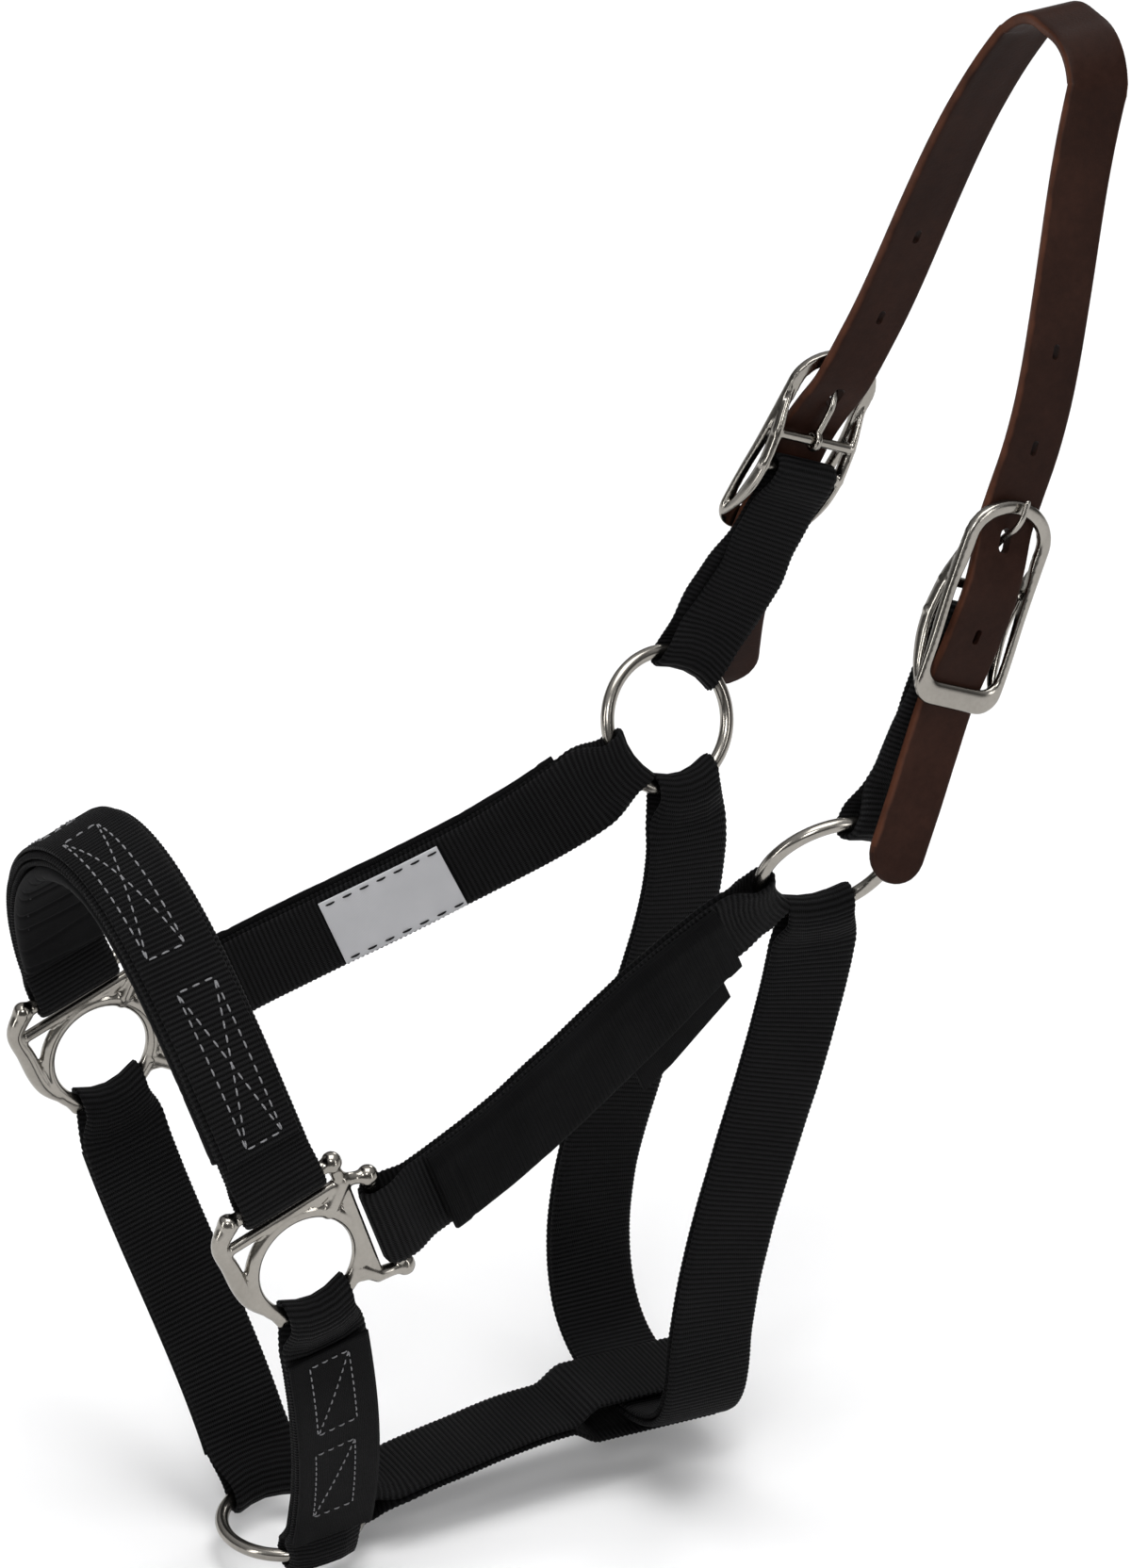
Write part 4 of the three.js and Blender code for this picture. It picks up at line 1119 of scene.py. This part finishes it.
def strap_holes(route):
    """A cutter through each of the crown's holes, a long one where each tongue goes through."""
    cutters = Casting()
    for k in range(HOLES_PER_SIDE):
        near_place, near_along, _, _ = route.at(TAIL_LENGTH - FIRST_HOLE + k * HOLE_PITCH)
        for flip in (1, -1):
            place, along, across = (V(v.x, flip * v.y, v.z) for v in (near_place, near_along, buckle_across))
            side = square_to(across, along)
            long, wide = (HOLE_LENGTH, HOLE_WIDTH) if k == 1 else (SPARE_HOLE_LENGTH, SPARE_HOLE_WIDTH)
            r, straight = wide / 2, (long - wide) / 2
            outline = []
            for start, centre in ((-90, straight), (90, -straight)):
                for degrees in range(start, start + 181, 15):
                    turn = math.radians(degrees)
                    outline.append((centre + r * math.cos(turn), r * math.sin(turn)))
            cutters.plate(outline, place, along, side, side.cross(along), -4, 4)
    mesh = cutters.as_mesh("holes")
    mesh.transform(Matrix.Diagonal((MM, MM, MM, 1)))
    return mesh


def crown_strap():
    near = crown_points(NEAR_TAIL_SWING)
    off = mirrored_points(crown_points(OFF_TAIL_SWING))
    route = Route(near + [V(0, 0, CROWN_THICKNESS / 2)] + off, ALONG_HORSE, ALONG_HORSE)
    tip_radius = CROWN_WIDTH / 2
    ends = [tip_radius * (1 - math.cos(math.radians(a))) for a in (6, 14, 24, 36, 48, 60, 72, 84)]
    inner = route.length - 2 * tip_radius * 0.95
    count = int(inner / 1.6)
    stations = ends + [tip_radius + inner * k / count for k in range(count)]
    stations = sorted(s for s in stations if s < route.length - tip_radius)
    rings, marks = [], []
    for s in stations + [route.length - s for s in reversed(ends)]:
        place, along, _, _ = route.at(s)
        side = square_to(ALONG_HORSE.lerp(buckle_across, smooth(place.z / buckle_at.z)), along)
        from_tip = min(s, route.length - s)
        tip = math.sqrt(max(1 - (1 - min(from_tip / tip_radius, 1)) ** 2, 0))
        thick = CROWN_THICKNESS / 2 * (0.8 + 0.2 * smooth(from_tip / 3))
        waver = noise.noise(V(s * 0.03, 1, 8)) * 0.25 * smooth((from_tip - 90) / 40)
        section = leather_section(tip_radius * tip, thick)
        rings.append([place + side * (w + waver) + side.cross(along) * h for w, h in section])
        marks.append([(s, w) for w, h in section])
    tool = in_scene("holes", strap_holes(route))
    strap = in_scene("strap", skin("crown_leather", rings, marks, False))
    cut = strap.modifiers.new("holes", "BOOLEAN")
    cut.operation, cut.object, cut.solver = "DIFFERENCE", tool, "EXACT"
    pierced = evaluated(strap)
    for made in (tool, strap):
        bpy.data.objects.remove(made)
    pierced.name = "crown_leather"
    pierced.shade_smooth()
    pierced.set_sharp_from_angle(angle=math.radians(38))
    return put("crown_leather", pierced, LEATHER, "crown", "crown_leather", "crown_strap")


# ---------------- assembly

camera()
lights()
world()
floor()
bpy.context.scene.view_settings.view_transform = "Standard"

crown_strap()
buckle_webs = buckle_web_route()
for side, mirror in SIDES:
    buckle_frame(side + "_buckle", side + "_buckle_frame", mirror)
    buckle_pin(side + "_buckle_pin", side + "_buckle_tongue", side + "_tongue", mirror)
    halter_square(side + "_halter_square", side + "_square", mirror)
    throat_ring = side + "_throat_ring"
    round_ring(side + "_round_ring", throat_ring_at, throat_ring_normal, throat_ring, throat_ring, mirror)
    web(side + "_buckle_strap", buckle_webs, web_bar_loop, buckle_ring_loop, BUCKLE_WEB_WIDTH, "crown",
        side + "_buckle_web", mirror=mirror, seed=11 if mirror else 4, sway=0.6, slip=3.6 if mirror else 2.2)
round_ring("round_chin_ring", chin_ring_at, chin_ring_normal, "chin_ring", "chin_ring")

cheek = cheek_route()
for side, mirror in SIDES:
    web(side + "_cheek_strap", cheek, cheek_ring_loop, cheek_bar_loop, WEB_WIDTH, "cheeks",
        side + "_cheek_web", mirror=mirror, seed=21 if mirror else 15)

SLEEVE_FROM, SLEEVE_TO = MERGE_LENGTH + 6, cheek.length - MERGE_LENGTH - 7
SLEEVE_SEAM = 9.5  # half the length of the sewn row near each end


def line_at(value, place, width):
    """A narrow ridge: 1 at the place, and nothing a few widths away."""
    return math.exp(-((value - place) / width) ** 2)


def sleeve_relief(s, share):
    """Crowned face with a turned hem at each end and a seam ridge under the upper edge."""
    relief = 0.55 * (1 - share * share) + 0.7 * line_at(share, 0.68, 0.06) - 0.45 * line_at(share, 0.52, 0.06)
    for gap in (abs(s - SLEEVE_FROM), abs(SLEEVE_TO - s)):
        relief += 0.4 * smooth((5.5 - gap) / 1.2) - 0.2 * line_at(gap, 6.2, 0.7)
    return relief + 0.16 * noise.noise(V(s * 0.12, share * 2, 5)) + 0.1 * noise.noise(V(s * 0.4, share, 9))


for side, mirror in SIDES:
    slab(side + "_cheek_sleeve", cheek, SLEEVE_FROM, SLEEVE_TO, DOUBLED_HALF + 0.15 + COVER_THICKNESS / 2,
         COVER_THICKNESS - 0.4, WEB_WIDTH + 0.8, COVER, "cheeks", "cover_fabric", side + "_cheek_cover",
         mirror=mirror, round_by=1.2, relief=sleeve_relief, step=0.3, ribs=0.2)
for side, mirror in SIDES:
    rows, face = Thread(), face_of(cheek, DOUBLED_HALF + 0.15 + COVER_THICKNESS)
    for s in (SLEEVE_FROM + 3, SLEEVE_TO - 3.5):
        rows.row(face, [(s, -SLEEVE_SEAM), (s, SLEEVE_SEAM)], 2.2, 1.1, 0.26)
    rows.make(side + "_sleeve_stitching", BLACK_THREAD, "cheeks", mirror)

LABEL_LENGTH, LABEL_WIDTH, LABEL_THICKNESS = 37, 23, 0.6
label_from = 0.53 * cheek.length - LABEL_LENGTH / 2
label_to = label_from + LABEL_LENGTH
label_offset = -(DOUBLED_HALF + 0.2 + LABEL_THICKNESS / 2)
slab("blank_size_label", cheek, label_from, label_to, label_offset, LABEL_THICKNESS, LABEL_WIDTH, SATIN,
     "cheeks", "satin_label", "size_label", mirror=True, round_by=0.4)
rows, face = Thread(), face_of(cheek, label_offset - LABEL_THICKNESS / 2)
for w in (LABEL_WIDTH / 2 - 1.5, 1.5 - LABEL_WIDTH / 2):
    rows.row(face, [(label_from, w), (label_to, w)], 3.0, 2.0, 0.33)
rows.make("label_stitching", BLACK_THREAD, "cheeks", mirror=True)

TAG_LENGTH, TAG_DROP, TAG_THICKNESS = 36, 9, 1
tag_middle = 0.28 * cheek.length
slab("blank_side_tag", cheek, tag_middle - TAG_LENGTH / 2, tag_middle + TAG_LENGTH / 2, DOUBLED_HALF,
     TAG_THICKNESS, TAG_DROP, COVER, "cheeks", "woven_tag", "side_tag",
     shift=-(WEB_WIDTH + TAG_DROP) / 2 - PLY_GAP, round_by=0.4)

nose = nose_route()
NOSE_TRIM = MERGE_LENGTH + 7
web("noseband_web", nose, nose_bar_loop, nose_bar_loop, WEB_WIDTH, "cheeks", "nose_web", seed=31)
overlay_offset = DOUBLED_HALF + 0.25 + OVERLAY_THICKNESS / 2
overlay_face = overlay_offset + OVERLAY_THICKNESS / 2 + 0.05
slab("noseband_overlay", nose, NOSE_TRIM, nose.length - NOSE_TRIM, overlay_offset, OVERLAY_THICKNESS,
     WEB_WIDTH - 3, WEB, "cheeks", "cover_fabric", "nose_overlay", round_by=0.8, step=RIB_PITCH / 4,
     ribs=RIB_HEIGHT)

LINING_WIDTH, LINING_SEAM = WEB_WIDTH + 0.8, 0.8  # the seam's place is a share of the half width
WRINKLE_PITCH, NOSE_BOX_HALF, CHIN_BOX_HALF = 9, 5.6, 6


def lining_wrinkles(s, share):
    """Cross wrinkles where the padded lining bends over the nose, and a sewn line near each edge."""
    depth = 0.35 * (1 - share * share) - 0.45 * line_at(abs(share), LINING_SEAM, 0.045)
    first = int(s / WRINKLE_PITCH) - 1
    for k in range(first, first + 4):
        at = WRINKLE_PITCH * k + 4 * noise.noise(V(k * 1.7, 2, 0)) + 5 * noise.noise(V(k * 1.1, 7, 0)) * share
        depth -= (0.5 + 0.35 * noise.noise(V(k * 2.3, 5, 0))) * line_at(s, at, 0.9)
    return depth + 0.15 * noise.noise(V(s * 0.2, share * 2.5, 4))


# The lining is a slab turned round, so that its worked face is the inner one.
lined = Route(nose.points, *[-key for key in nose.keys])
lining = slab("noseband_lining", lined, NOSE_TRIM, lined.length - NOSE_TRIM,
              DOUBLED_HALF + 0.15 + PAD_THICKNESS / 2, PAD_THICKNESS - 0.6, LINING_WIDTH, LINING, "cheeks",
              "padded_lining", "nose_pad", round_by=2.2, step=0.45, relief=lining_wrinkles)
rows, face = Thread(), face_of(lined, DOUBLED_HALF + PAD_THICKNESS - 0.6)
seam_from = NOSE_TRIM + 2
stops = [mix(seam_from, lined.length - seam_from, k / 24) for k in range(25)]
for w in (LINING_SEAM * LINING_WIDTH / 2, -LINING_SEAM * LINING_WIDTH / 2):
    rows.row(face, [(s, w) for s in stops], 2.4, 1.3, 0.24)
rows.make("lining_stitching", BLACK_THREAD, "cheeks")

rows, face = Thread(), face_of(nose, overlay_face)
for low, high, middle in ((19, 64, 1), (75, 125, -2), (140, 190, -2)):
    corners = box(low, high, middle, NOSE_BOX_HALF)
    for run in (corners, corners[0:3:2], corners[1:4:2]):
        rows.row(face, run)
rows.make("noseband_stitching", GREY_THREAD, "cheeks")

chin = chin_route()
PATCH_MARGIN = MERGE_LENGTH + 3.5
for side, mirror in SIDES:
    web(side + "_chin_strap", chin, chin_eye_loop, chin_ring_loop, WEB_WIDTH, "chin", side + "_chin_web",
        mirror=mirror, seed=47 if mirror else 41)
    slab(side + "_chin_sewn_patch", chin, PATCH_MARGIN, chin.length - PATCH_MARGIN, overlay_offset,
         OVERLAY_THICKNESS, WEB_WIDTH - 0.6, COVER, "chin", "cover_fabric", side + "_chin_patch",
         mirror=mirror, step=0.8, relief=lambda s, share: 0.25 * line_at(abs(share), 0.86, 0.06))
    rows, face = Thread(), face_of(chin, overlay_face)
    for low, high, middle in ((16, 47, 0.5), (57, 92, 1.5)):
        corners = box(low, high, middle, CHIN_BOX_HALF)
        rows.row(face, corners + corners[2:3], 2.0, 1.0, 0.22)
    rows.make(side + "_chin_stitching", GREY_THREAD, "chin", mirror)

web("throat_strap", throat_route(), throat_ring_loop, throat_ring_loop.mirrored(), WEB_WIDTH, "throat",
    "throat_web", seed=53)
web("jaw_strap", jaw_route(), jaw_ring_loop, jaw_rear_loop, WEB_WIDTH, "jaw", "jaw_web", back=JAW_BACK,
    seed=61, crease=0.5)
